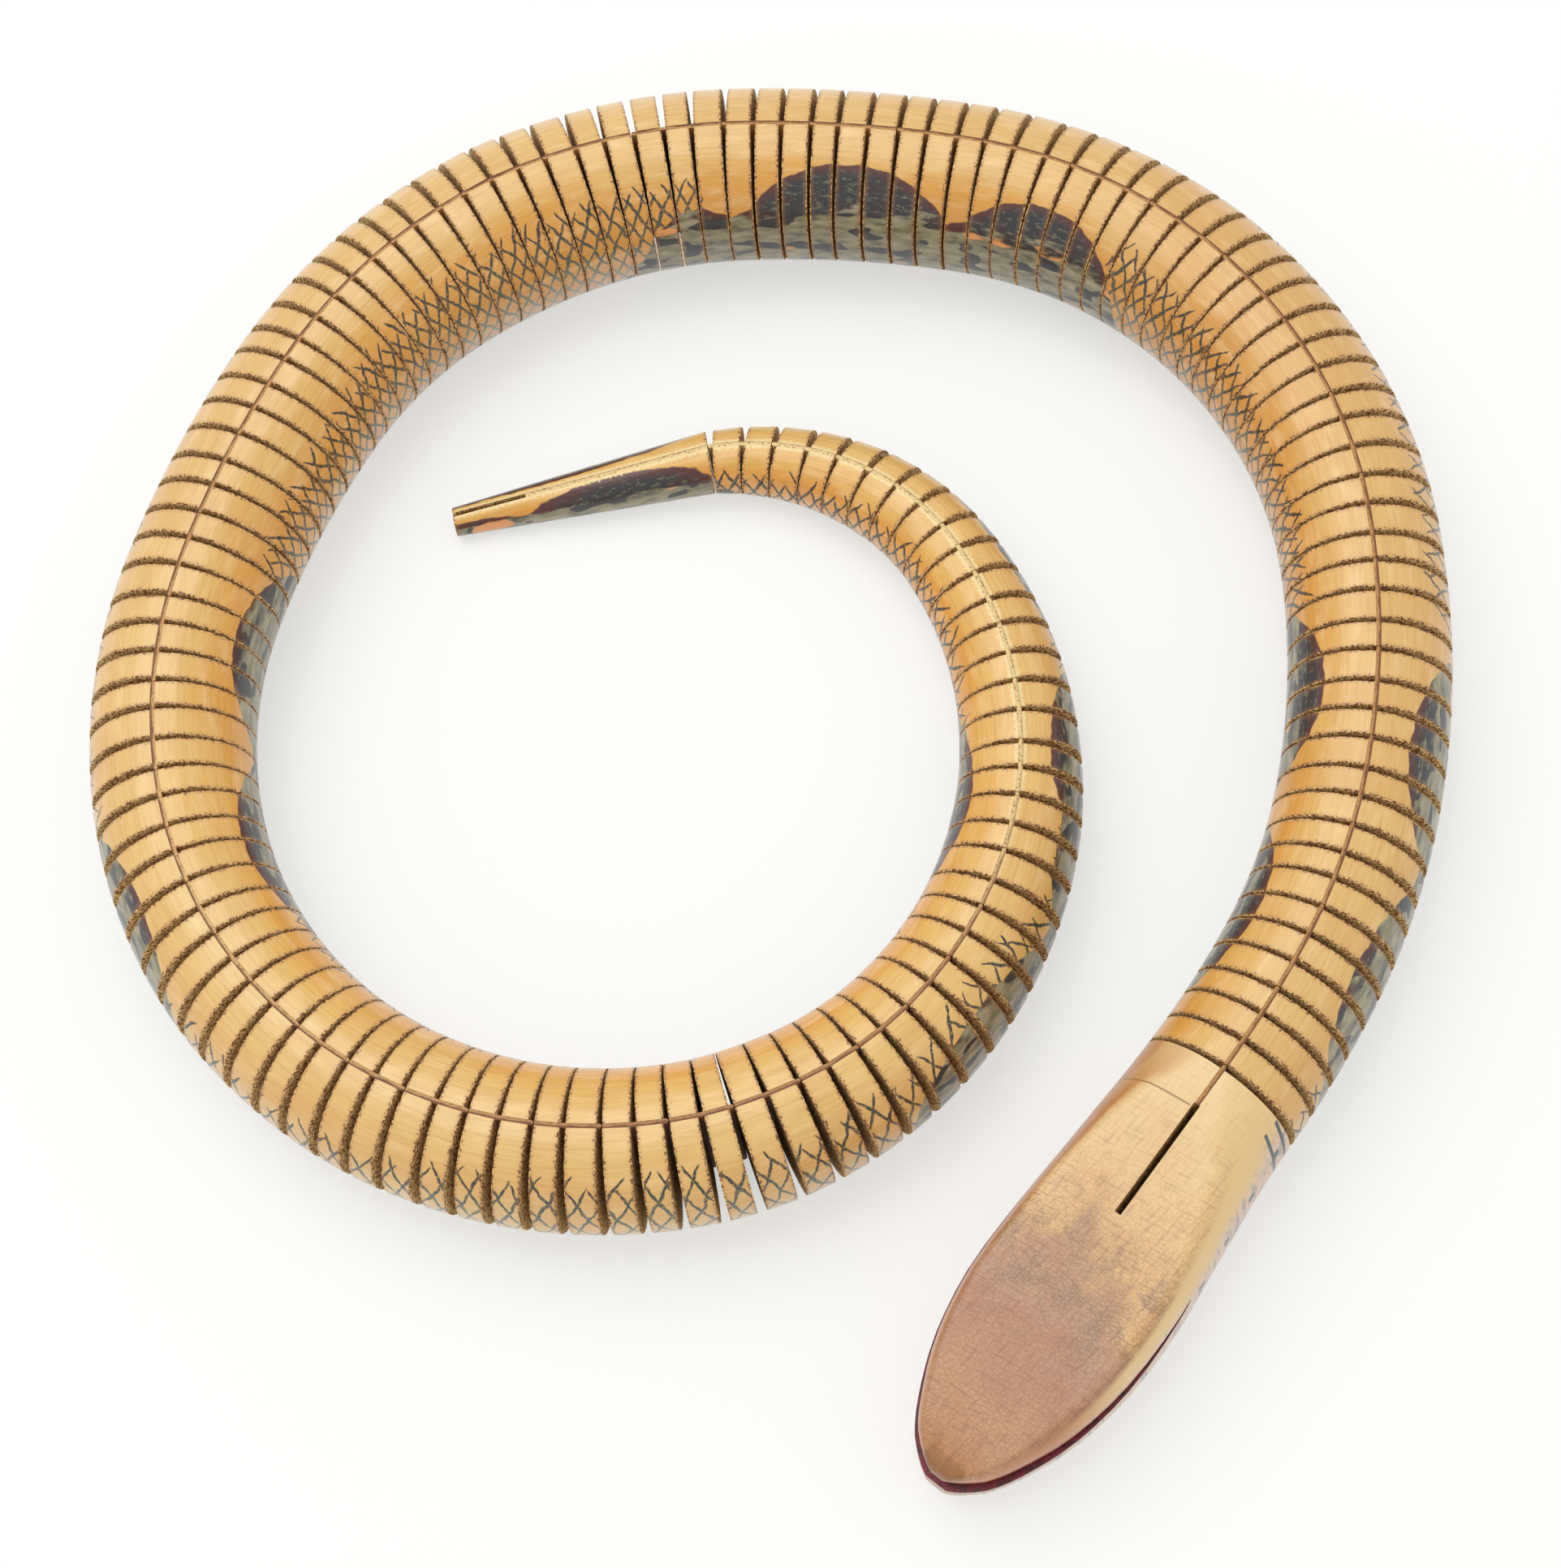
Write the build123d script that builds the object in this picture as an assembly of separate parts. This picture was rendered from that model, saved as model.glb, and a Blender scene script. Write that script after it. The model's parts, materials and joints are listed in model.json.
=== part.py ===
from build123d import *
from math import acos, atan, atan2, cos, degrees, pi, radians, sin, sqrt
import os

# Jointed wooden snake, lying coiled on a flat surface at Z = 0, in millimetres.
# A tapered round stick is slit down the middle from the tail into the head, a thin flexible
# strip is glued into the slit, and saw kerfs from both sides go in to the strip. Each kerf is
# then a small hinge about an upright axis, so the snake bends from side to side only.
# The kerfs are numbered from 1 at the head to KERF_COUNT at the tail.

# Kerfs along the stick
KERF_COUNT = 138
KERF_WIDTH = 0.9            # the saw's set
PITCH = 5.30                # from one kerf to the next
PITCH_WANDER = 0.32         # how far a cut made by eye falls from its even place
SECOND_WANDER = 0.16
RIM_GAP = 0.15              # least gap at rest between two edges on the inside of the curl
CLOSED_GAP = 0.10           # what the frayed edges leave when a kerf is bent shut

# Strip in the slit
STRIP_THICKNESS = 0.8
STRIP_INSET = 0.5           # how far its long edges lie under the wood's surface
HINGE_GAP = 0.10            # between the round end of one length and the next length
HEAD_STRIP = 7.0            # how far the strip goes into the head
TAIL_STRIP = 34.0           # how far it goes into the tail tip

# Diameter of the stick at a few kerfs
NECK_DIAMETER = 27.2
THROAT_DIAMETER = 26.6
SHOULDER_DIAMETER = 27.3
CHEST_DIAMETER = 29.3
BACK_DIAMETER = 30.5
BELLY_DIAMETER = 31.9
LOIN_DIAMETER = 30.0
WAIST_DIAMETER = 28.2
HIP_DIAMETER = 26.5
RUMP_DIAMETER = 26.1
TAIL_ROOT_DIAMETER = 21.5
TAIL_DIAMETER = 15.1
TAIL_TIP_DIAMETER = 11.2
TAIL_END_DIAMETER = 5.2
TAIL_TIP_LENGTH = 47.5
STATIONS = (
    (1, NECK_DIAMETER),
    (10, THROAT_DIAMETER),
    (20, SHOULDER_DIAMETER),
    (32, CHEST_DIAMETER),
    (45, BACK_DIAMETER),
    (57, BELLY_DIAMETER),
    (65, LOIN_DIAMETER),
    (78, WAIST_DIAMETER),
    (92, HIP_DIAMETER),
    (107, RUMP_DIAMETER),
    (120, TAIL_ROOT_DIAMETER),
    (133, TAIL_DIAMETER),
    (KERF_COUNT, TAIL_TIP_DIAMETER),
)

# Head, carved on the front end of the stick
HEAD_LENGTH = 74.5          # from the first kerf to the nose
HEAD_WIDTH = 31.2
HEAD_ASIDE = 0.9            # how far the carver's middle lies right of the slit, past the neck
CROWN_CUT = 0.2             # what the plane took off the top at the neck
NOSE_HEIGHT = 13.0          # top of the blunt nose
CHIN_HEIGHT = 5.2           # underside of the blunt nose
SNOUT_LINE = 7.0            # height of the widest line at the nose
SLOT_WIDTH = 1.1            # the end of the slit, left open on top of the head
SLOT_LENGTH = 27.5          # from the first kerf to the slit's end
MOUTH_START = 30.0          # from the first kerf to the corner of the mouth
MOUTH_CORNER_HEIGHT = 16.0
MOUTH_NOSE_HEIGHT = 9.7     # height of the middle of the mouth at the nose
MOUTH_OPENING = 1.9         # at the nose
MOUTH_CORNER = 0.4          # at the corner

# Cross-sections of the head: how far along it, how much it still has of the neck's width, how
# wide, how much of the top's fall, how much of the width is flat on top, how much of the chin's
# rise and of the widest line's drop
HEAD_SECTIONS = (
    (-0.030, 1.00, 1.00, 0.00, 0.10, 0.00, 0.00),
    (0.020, 1.00, 1.00, 0.01, 0.14, 0.00, 0.02),
    (0.135, 0.83, 1.00, 0.10, 0.60, 0.00, 0.11),
    (0.300, 0.41, 1.00, 0.23, 0.78, 0.00, 0.30),
    (0.460, 0.00, 1.00, 0.33, 0.83, 0.00, 0.40),
    (0.620, 0.00, 0.99, 0.43, 0.85, 0.03, 0.50),
    (0.760, 0.00, 0.87, 0.53, 0.85, 0.12, 0.62),
    (0.865, 0.00, 0.68, 0.64, 0.83, 0.28, 0.73),
    (0.945, 0.00, 0.46, 0.74, 0.77, 0.48, 0.81),
    (0.985, 0.00, 0.25, 0.87, 0.63, 0.75, 0.92),
    (1.000, 0.00, 0.13, 1.00, 0.50, 1.00, 1.00),
)

# The curl at rest: a number of kerfs, how far the stick turns left at each of them, and how far
# apart they are against PITCH. The cuts are further apart toward the tail.
CURL = (
    (5, 1.63, 0.980),
    (7, 2.49, 0.960),
    (8, 2.02, 1.020),
    (12, 3.57, 1.020),
    (8, 3.83, 1.020),
    (8, 1.60, 0.987),
    (10, 3.35, 1.019),
    (8, 3.46, 0.928),
    (8, 1.74, 1.007),
    (9, 3.56, 1.014),
    (10, 3.93, 1.000),
    (11, 3.96, 0.994),
    (9, 4.84, 1.001),
    (8, 4.22, 0.987),
    (8, 4.19, 1.068),
    (8, 7.29, 1.131),
    (1, 12.00, 1.131),
)
FIRST_HEADING = 44.3        # direction of the stick after the first kerf, from +X

# Kerfs that carry a joint: blocks of three pieces in the thick front, of two further back
FRONT_BLOCKS = 27
FRONT_PIECES = 3
REAR_PIECES = 2


class Spine:
    """The line of kerfs, with what the saw leaves at each of them."""

    def __init__(self):
        self.bends = [0.0] + [curl_at(kerf)[0] for kerf in range(1, KERF_COUNT + 1)]
        self.heading = [FIRST_HEADING - self.bends[1]]
        self.points = [None, (0.0, 0.0)]
        for kerf in range(1, KERF_COUNT + 1):
            self.heading.append(self.heading[-1] + self.bends[kerf])
            if kerf < KERF_COUNT:
                turn, step = radians(self.heading[kerf]), step_after(kerf)
                x, y = self.points[kerf]
                self.points.append((x + step * cos(turn), y + step * sin(turn)))

    def opening(self, kerf):
        """How far the kerf is bent from parallel at rest, in degrees. What the stick turns
        beyond that is in the wood, because the snake was sawn while it was curled."""
        most = degrees((KERF_WIDTH - RIM_GAP) / radius_at(kerf))
        return max(-most, min(self.bends[kerf], most))

    def shut(self, kerf):
        """How far the kerf can bend from parallel either way, in degrees."""
        return 2 * degrees(atan((KERF_WIDTH - CLOSED_GAP) / (2 * radius_at(kerf))))

    def face(self, kerf, side):
        """The kerf's wall towards the head (side -1) or the tail (side 1): a point on it and
        the direction it is square to."""
        middle = (self.heading[kerf - 1] + self.heading[kerf]) / 2
        turn = radians(middle + side * self.opening(kerf) / 2)
        x, y = self.points[kerf]
        reach = side * KERF_WIDTH / 2
        return (x + reach * cos(turn), y + reach * sin(turn)), turn


def curl_at(kerf):
    """How far the stick turns left at a kerf, and the pitch after it against PITCH."""
    for count, turn, stretch in CURL:
        kerf -= count
        if kerf <= 0:
            return turn, stretch
    return CURL[-1][1:]


def step_after(kerf):
    """Distance from this kerf to the next."""
    even = PITCH * curl_at(kerf)[1]
    return even + PITCH_WANDER * sin(2.4 * kerf - 2.4) + SECOND_WANDER * sin(5.1 * kerf - 4.1)


def radius_at(kerf):
    """Radius of the stick at a kerf, straight between the stations."""
    for (k0, d0), (k1, d1) in zip(STATIONS, STATIONS[1:]):
        if kerf <= k1:
            return (d0 + (d1 - d0) * (kerf - k0) / (k1 - k0)) / 2
    return STATIONS[-1][1] / 2


def ahead(point, turn, along, aside=0.0):
    """A point so far along a heading and so far to its left."""
    x, y = point
    return (x + along * cos(turn) - aside * sin(turn), y + along * sin(turn) + aside * cos(turn))


def taper(start, end, r0, r1, extra):
    """A round tapered length lying on the surface between two points, longer by extra at both
    ends."""
    length = sqrt((end[0] - start[0]) ** 2 + (end[1] - start[1]) ** 2)
    slope = (r1 - r0) / length
    low, high = r0 - slope * extra, r1 + slope * extra
    turn = atan2(end[1] - start[1], end[0] - start[0])
    foot = ahead(start, turn, -extra)
    axis = Plane(origin=(*foot, low), z_dir=(cos(turn), sin(turn), slope))
    upright = (Align.CENTER, Align.CENTER, Align.MIN)
    full = (length + 2 * extra) * sqrt(1 + slope**2)
    if abs(high - low) < 1e-6:
        return axis * Cylinder(low, full, align=upright)
    return axis * Cone(low, high, full, align=upright)


def meet(a, turn_a, b, turn_b):
    """Where two lines in plan meet."""
    ax, ay, bx, by = cos(turn_a), sin(turn_a), cos(turn_b), sin(turn_b)
    t = ((b[0] - a[0]) * by - (b[1] - a[1]) * bx) / (ax * by - ay * bx)
    return (a[0] + t * ax, a[1] + t * ay)


def footprint(point, turn, front, back, inner, outer):
    """Plan of a half piece: between two saw faces, and from inner to outer on one side of the
    slit. A face is a point on it and the direction it is square to."""
    corners = []
    for aside, face in ((inner, front), (inner, back), (outer, back), (outer, front)):
        line = ahead(point, turn, 0, aside)
        corners.append(meet(line, turn, face[0], face[1] + pi / 2))
    return Polyline(*corners, close=True)


def wood_halves(start, end, r0, r1, front, back):
    """The left and right halves of one sawn piece of the stick."""
    turn = atan2(end[1] - start[1], end[0] - start[0])
    reach = max(r0, r1) + 1
    stick = taper(start, end, r0, r1, KERF_WIDTH + 1)
    halves = []
    for side in (1, -1):
        plan = footprint(start, turn, front, back, side * STRIP_THICKNESS / 2, side * reach)
        halves.append(stick & extrude(make_face(plan), amount=2 * reach, dir=(0, 0, 1)))
    return halves


def strip_length(points, low, high, round_end):
    """A length of the strip along points in plan, from low to high. Its last end is round about
    the last point where the next length turns on it."""
    half = STRIP_THICKNESS / 2
    left, right = [], []
    turns = [atan2(b[1] - a[1], b[0] - a[0]) for a, b in zip(points, points[1:])]
    for n, point in enumerate(points):
        before, after = turns[max(0, n - 1)], turns[min(n, len(turns) - 1)]
        middle, lean = (before + after) / 2, cos((after - before) / 2)
        left.append(ahead(point, middle, 0, half / lean))
        right.append(ahead(point, middle, 0, -half / lean))
    plan = make_face(Polyline(*left, *reversed(right), close=True))
    if round_end:
        plan = plan + Pos(*points[-1]) * Circle(half)
    return Pos(0, 0, low) * extrude(plan, amount=high - low, dir=(0, 0, 1))


def strip_past(spine, kerf):
    """Where the strip starts again after the round end at a kerf with a joint."""
    turn = radians(spine.heading[kerf])
    return ahead(spine.points[kerf], turn, STRIP_THICKNESS / 2 + HINGE_GAP)


def block(spine, first, last):
    """The wood and the strip from one kerf with a joint to the next."""
    solids = []
    for kerf in range(first, last):
        solids += wood_halves(
            spine.points[kerf],
            spine.points[kerf + 1],
            radius_at(kerf),
            radius_at(kerf + 1),
            spine.face(kerf, 1),
            spine.face(kerf + 1, -1),
        )
    line = [strip_past(spine, first)] + spine.points[first + 1 : last + 1]
    top = 2 * min(radius_at(first), radius_at(last)) - STRIP_INSET
    return solids + [strip_length(line, STRIP_INSET, top, True)]


def head_section(width, top, flat_share, base, widest):
    """One cross-section of the head: an oval, round below, with its top planed flat."""
    half, corner = width / 2, degrees(acos(flat_share))
    crown = (top - widest) / sqrt(1 - flat_share**2)
    edge = half * flat_share
    outline = [
        EllipticalCenterArc((0, widest), half, crown, 0, arc_size=corner),
        Line((edge, top), (-edge, top)),
        EllipticalCenterArc((0, widest), half, crown, 180 - corner, arc_size=corner),
        EllipticalCenterArc((0, widest), half, widest - base, 180, arc_size=180),
    ]
    return make_face(outline)


def between(start, end, share):
    """A value part of the way from one to another."""
    return start + (end - start) * share


def head_top(along):
    """Height of the planed top of the head, so far from the first kerf."""
    share = along / HEAD_LENGTH
    for low, high in zip(HEAD_SECTIONS, HEAD_SECTIONS[1:]):
        if share <= high[0]:
            fall = between(low[3], high[3], (share - low[0]) / (high[0] - low[0]))
            return between(NECK_DIAMETER - CROWN_CUT, NOSE_HEIGHT, fall)
    return NOSE_HEIGHT


def head_side(spine):
    """The upright plane down the middle of the head: x from the first kerf to the nose, y up."""
    turn = radians(spine.heading[0] + 180)
    return Plane(
        origin=(*spine.points[1], 0), x_dir=(cos(turn), sin(turn), 0), z_dir=(sin(turn), -cos(turn), 0)
    )


def head(spine):
    """The solid head, with the saw cuts of its mouth and of the end of the slit."""
    turn = radians(spine.heading[0] + 180)
    toward = (cos(turn), sin(turn), 0)
    sections = []
    for station, neck, width, fall, flat_share, rise, drop in HEAD_SECTIONS:
        foot = ahead(spine.points[1], turn, station * HEAD_LENGTH, HEAD_ASIDE * (1 - neck))
        section = head_section(
            between(HEAD_WIDTH, NECK_DIAMETER, neck) * width,
            between(NECK_DIAMETER - CROWN_CUT, NOSE_HEIGHT, fall),
            flat_share,
            CHIN_HEIGHT * rise,
            between(NECK_DIAMETER / 2, SNOUT_LINE, drop),
        )
        across = Plane(origin=(*foot, 0), x_dir=(-sin(turn), cos(turn), 0), z_dir=toward)
        sections.append(across * section)
    carved = loft(sections)
    face, square = spine.face(1, -1)
    saw_face = Plane(origin=(*face, 0), z_dir=(cos(square), sin(square), 0))
    carved = split(carved, bisect_by=saw_face, keep=Keep.BOTTOM)
    side = head_side(spine)
    beyond = HEAD_LENGTH + 2
    mouth = Polyline(
        (MOUTH_START, MOUTH_CORNER_HEIGHT + MOUTH_CORNER / 2),
        (MOUTH_START, MOUTH_CORNER_HEIGHT - MOUTH_CORNER / 2),
        (beyond, MOUTH_NOSE_HEIGHT - MOUTH_OPENING / 2),
        (beyond, MOUTH_NOSE_HEIGHT + MOUTH_OPENING / 2),
        close=True,
    )
    carved -= side * extrude(make_face(mouth), amount=HEAD_WIDTH, both=True)
    deep = 2 * NECK_DIAMETER
    glued = Rectangle(2 * HEAD_STRIP, 2 * deep)
    carved -= side * extrude(glued, amount=STRIP_THICKNESS / 2, both=True)
    free = Pos((HEAD_STRIP + SLOT_LENGTH) / 2, 0) * Rectangle(SLOT_LENGTH - HEAD_STRIP, 2 * deep)
    carved -= side * extrude(free, amount=SLOT_WIDTH / 2, both=True)
    return carved


def head_strip(spine):
    """The end of the strip that is glued into the head, up to its round end at the first kerf."""
    turn = radians(spine.heading[0])
    line = [ahead(spine.points[1], turn, -HEAD_STRIP), spine.points[1]]
    return strip_length(line, STRIP_INSET, head_top(HEAD_STRIP) - STRIP_INSET, True)


def tail_end(spine):
    """Where the tail tip ends, and its heading."""
    turn = radians(spine.heading[KERF_COUNT])
    return ahead(spine.points[KERF_COUNT], turn, TAIL_TIP_LENGTH), turn


def tail_halves(spine):
    """The two halves of the tail tip, sawn square at the end."""
    end, turn = tail_end(spine)
    return wood_halves(
        spine.points[KERF_COUNT],
        end,
        TAIL_TIP_DIAMETER / 2,
        TAIL_END_DIAMETER / 2,
        spine.face(KERF_COUNT, 1),
        (end, turn),
    )


def tail_strip(spine):
    """The last length of the strip, getting lower with the tail tip."""
    turn = radians(spine.heading[KERF_COUNT])
    start = STRIP_THICKNESS / 2 + HINGE_GAP
    fall = (TAIL_TIP_DIAMETER - TAIL_END_DIAMETER) / TAIL_TIP_LENGTH
    side = Plane(
        origin=(*spine.points[KERF_COUNT], 0),
        x_dir=(cos(turn), sin(turn), 0),
        z_dir=(sin(turn), -cos(turn), 0),
    )
    outline = Polyline(
        (start, STRIP_INSET),
        (TAIL_STRIP, STRIP_INSET),
        (TAIL_STRIP, TAIL_TIP_DIAMETER - fall * TAIL_STRIP - STRIP_INSET),
        (start, TAIL_TIP_DIAMETER - fall * start - STRIP_INSET),
        close=True,
    )
    return side * extrude(make_face(outline), amount=STRIP_THICKNESS / 2, both=True)


def joint_kerfs():
    """The kerfs that carry a joint, from the head to the tail."""
    front = [1 + FRONT_PIECES * n for n in range(FRONT_BLOCKS)]
    first_rear = 1 + FRONT_PIECES * FRONT_BLOCKS
    return front + list(range(first_rear, KERF_COUNT, REAR_PIECES)) + [KERF_COUNT]


def solids_of(shapes):
    """The solids of some shapes, as one flat list."""
    return [solid for shape in shapes for solid in shape.solids()]


def model():
    """Every node's solids by name, with the middle of the coil's box over the origin, and where
    the first kerf came to be."""
    spine = Spine()
    kerfs = joint_kerfs()
    left, right = tail_halves(spine)
    nodes = {"head": [head(spine)], "head_strip": [head_strip(spine)]}
    for number, (first, last) in enumerate(zip(kerfs, kerfs[1:]), 1):
        nodes[f"body_block_{number:02d}"] = block(spine, first, last)
    nodes |= {"tail_left": [left], "tail_right": [right], "tail_strip": [tail_strip(spine)]}
    box = Compound(children=solids_of(s for shapes in nodes.values() for s in shapes)).bounding_box()
    middle = (box.min + box.max) / 2
    centre = Pos(-middle.X, -middle.Y, 0)
    nodes = {name: [centre * s for s in solids_of(shapes)] for name, shapes in nodes.items()}
    return nodes, (-middle.X, -middle.Y)


NODES, FIRST_KERF_AT = model()
os.makedirs("parts", exist_ok=True)
for name, solids in NODES.items():
    export_step(Compound(label=name, children=solids), f"parts/{name}.step")
print(f"{len(NODES)} nodes, first kerf at {FIRST_KERF_AT[0]:.3f}, {FIRST_KERF_AT[1]:.3f} mm")
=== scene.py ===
import json
from functools import partial
from math import atan2, cos, degrees, hypot, pi, radians, sin

import bmesh
import bpy
from mathutils import Matrix, Vector, noise


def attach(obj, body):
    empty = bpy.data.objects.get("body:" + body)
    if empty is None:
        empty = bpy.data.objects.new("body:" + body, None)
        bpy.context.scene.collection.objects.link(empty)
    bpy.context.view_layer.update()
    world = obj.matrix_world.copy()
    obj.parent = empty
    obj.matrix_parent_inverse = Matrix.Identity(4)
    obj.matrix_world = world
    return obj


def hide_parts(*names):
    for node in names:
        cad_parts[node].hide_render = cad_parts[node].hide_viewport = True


# A sawn wooden snake on a pale floor. All sizes are in millimetres and become metres in the mesh.
MM = 0.001

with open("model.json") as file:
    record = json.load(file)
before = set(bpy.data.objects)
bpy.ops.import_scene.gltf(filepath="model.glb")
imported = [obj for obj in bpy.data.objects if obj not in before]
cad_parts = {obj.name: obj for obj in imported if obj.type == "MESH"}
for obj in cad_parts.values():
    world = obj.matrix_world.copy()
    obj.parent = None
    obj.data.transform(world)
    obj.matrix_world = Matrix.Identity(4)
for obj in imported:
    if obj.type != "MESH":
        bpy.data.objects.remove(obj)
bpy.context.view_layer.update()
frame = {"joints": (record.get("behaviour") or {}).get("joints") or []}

# The stick and its kerfs, as the part has them
KERF_COUNT = 138
KERF_WIDTH = 0.9
PITCH = 5.30  # from one kerf to the next
PITCH_WANDER = 0.32  # how unevenly the saw was stepped along
SECOND_WANDER = 0.16
RIM_GAP = 0.15  # least opening at the rim of a shut kerf
STRIP_THICKNESS = 0.8
HINGE_GAP = 0.10  # between two lengths of the strip
FIRST_HEADING = 44.3  # of the stick at the neck, in degrees
TAIL_TIP_LENGTH = 47.5
TAIL_END_RADIUS = 2.6
FRONT_BLOCKS = 27  # blocks in the thick front part
FRONT_PIECES = 3  # sawn pieces in each of those
REAR_PIECES = 2  # and in each block behind
# Kerf number, and the stick's diameter there
STATIONS = (
    (1, 27.2),
    (10, 26.6),
    (20, 27.3),
    (32, 29.3),
    (45, 30.5),
    (57, 31.9),
    (65, 30.0),
    (78, 28.2),
    (92, 26.5),
    (107, 26.1),
    (120, 21.5),
    (133, 15.1),
    (KERF_COUNT, 11.2),
)
# How many kerfs, the degrees that each turns left, and the pitch after each against PITCH
CURL = (
    (5, 1.63, 0.980),
    (7, 2.49, 0.960),
    (8, 2.02, 1.020),
    (12, 3.57, 1.020),
    (8, 3.83, 1.020),
    (8, 1.60, 0.987),
    (10, 3.35, 1.019),
    (8, 3.46, 0.928),
    (8, 1.74, 1.007),
    (9, 3.56, 1.014),
    (10, 3.93, 1.000),
    (11, 3.96, 0.994),
    (9, 4.84, 1.001),
    (8, 4.22, 0.987),
    (8, 4.19, 1.068),
    (8, 7.29, 1.131),
    (1, 12.00, 1.131),
)

# Head
HEAD_LENGTH = 74.5
HEAD_WIDTH = 31.2
HEAD_ASIDE = 0.9  # how far it is carved to the left of the slit
NECK_WIDTH = 27.2
CROWN_HEIGHT = 27.0
NOSE_HEIGHT = 13.0
CHIN_HEIGHT = 5.2
CHEEK_HEIGHT = 13.6  # of the widest line at the neck
SNOUT_LINE = 7.0  # and at the nose
SLOT_WIDTH = 1.1
SLOT_LENGTH = 27.5
HEAD_STRIP = 7.0  # how far the strip reaches into the head
MOUTH_START = 30.0
MOUTH_END = HEAD_LENGTH + 2  # past the nose, where the saw came in
MOUTH_CORNER_HEIGHT = 16.0
MOUTH_NOSE_HEIGHT = 9.7
MOUTH_OPENING = 1.9  # at the nose
MOUTH_CORNER = 0.4  # and at its end
LIP_ROUND = 0.9  # how far the upper lip is rubbed back at the nose
LIP_HEIGHT = 3.0  # and up to what height above the mouth

# How far along the head, what it keeps of the neck's width, width, fall of the top, flat share of
# the width, rise of the chin, drop of the widest line
HEAD_SECTIONS = (
    (-0.030, 1.00, 1.00, 0.00, 0.10, 0.00, 0.00),
    (0.020, 1.00, 1.00, 0.01, 0.14, 0.00, 0.02),
    (0.135, 0.83, 1.00, 0.10, 0.60, 0.00, 0.11),
    (0.300, 0.41, 1.00, 0.23, 0.78, 0.00, 0.30),
    (0.460, 0.00, 1.00, 0.33, 0.83, 0.00, 0.40),
    (0.620, 0.00, 0.99, 0.43, 0.85, 0.03, 0.50),
    (0.760, 0.00, 0.87, 0.53, 0.85, 0.12, 0.62),
    (0.865, 0.00, 0.68, 0.64, 0.83, 0.28, 0.73),
    (0.945, 0.00, 0.46, 0.74, 0.77, 0.48, 0.81),
    (0.985, 0.00, 0.25, 0.87, 0.63, 0.75, 0.92),
    (1.000, 0.00, 0.13, 1.00, 0.50, 1.00, 1.00),
)

# Finish of the sawn wood
STICK_SIDES = 48  # faces round the whole stick
RIM_WEAR = 0.07  # least width of the worn edge of a saw cut
RIM_FRAY = 0.24  # how much wider it gets where fibres broke away
FRAY_SIZE = 1.1  # length of one broken place round the edge
FRAY_DEPTH = 1.7  # and along the stick
WORN_SIZE = 12.0  # length of a stretch of edge that is worn alike
SPARE_LENGTH = KERF_WIDTH + 1  # of a turned blank, past each saw cut
STRIP_DEPTH = 0.06  # how far the strip lies under the surface on top
STRIP_PLAY = 0.02  # between the strip and the wood beside it
TAIL_STRIP = 34.0  # how far the strip reaches into the tail tip
TAIL_RINGS = 14  # rings of faces along the tail tip
SAWN, FRAYED = 1, 2  # places in a body piece's list of materials, after its skin
MOUTH_PAINT = 2  # and in the head's
FLAT = 0.99  # least cosine between directions that count as the same
TOUCHING = 1e-3  # a point nearer than this to a plane lies on it
HEAD_SIDES = 64
# Shares of its length at which the head has a ring of points
HEAD_STATIONS = (-0.03, 0.02, 0.07, 0.135, 0.2, 0.26, 0.32, 0.38, 0.44, 0.5, 0.56, 0.62, 0.67, 0.72,
                 0.76, 0.8, 0.83, 0.86, 0.885, 0.91, 0.93, 0.95, 0.967, 0.98, 0.99, 1.0)
INNER_HATCH = 2.75  # between the strokes of the hatching on the left half
OUTER_HATCH = 3.7  # and on the right half
HATCH_LEAN = 0.56  # how far a stroke goes along the stick against how far round it
PATTERN_LENGTH = 750.0  # of the stick, over which its colours change with age

# Camera, floor and light
AIM = (-1.529, -11.029, 16.45)  # the spot in the middle of the picture
LOOK_DOWN = 65.03  # degrees below level
ROLL = -9.63
DISTANCE = 479.9  # from the camera to that spot
LENS = 66.61
SENSOR = 36.0
FLOOR_SIZE = 4.0  # in metres, as are the lamp's size and place
FLOOR_GLOW = 0.58  # share of the floor's white that no shadow dims
TENT = 0.8  # strength of the pale surround
LAMP_SIZE = 1.2
LAMP_POWER = 6.5  # in watts
LAMP_AT = (-0.3, 0.35, 1.1)

# Painted pattern, by kerf number and by angle from the top, in degrees, plus to the left and minus
# to the right. A blotch is an oval: first kerf, last kerf, its highest edge, its middle.
OUTSIDE = 50.0  # how deep outside every blotch a place counts at most
BLOTCHES = (
    (2.0, 10.8, 42, 116),
    (11.4, 18.4, 37, 104),
    (33.4, 41.0, 34, 100),
    (40.4, 48.7, 28, 92),
    (47.8, 52.6, 57, 112),
    (33.6, 53.4, 74, 118),
    (72.9, 81.0, 52, 112),
    (80.9, 89.6, 50, 112),
    (73.0, 90.0, 86, 122),
    (107.5, 114.5, 72, 120),
    (115.8, 124.0, 44, 108),
    (138.1, 143.2, 10, 68),
    (143.0, 147.5, 42, 100),
    (137.4, 147.5, 58, 106),
    (2.2, 9.9, -40, 98),
    (9.6, 16.6, -28, 88),
    (32.0, 41.0, -60, 112),
    (42.5, 50.0, -56, 106),
    (58.0, 66.0, -62, 112),
    (82.6, 88.8, -38, 92),
    (110.2, 116.8, -43, 96),
    (116.6, 120.6, -44, 96),
    (119.0, 124.6, -28, 84),
    (124.6, 132.6, -50, 104),
    (137.6, 147.5, -20, 84),
)
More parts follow.
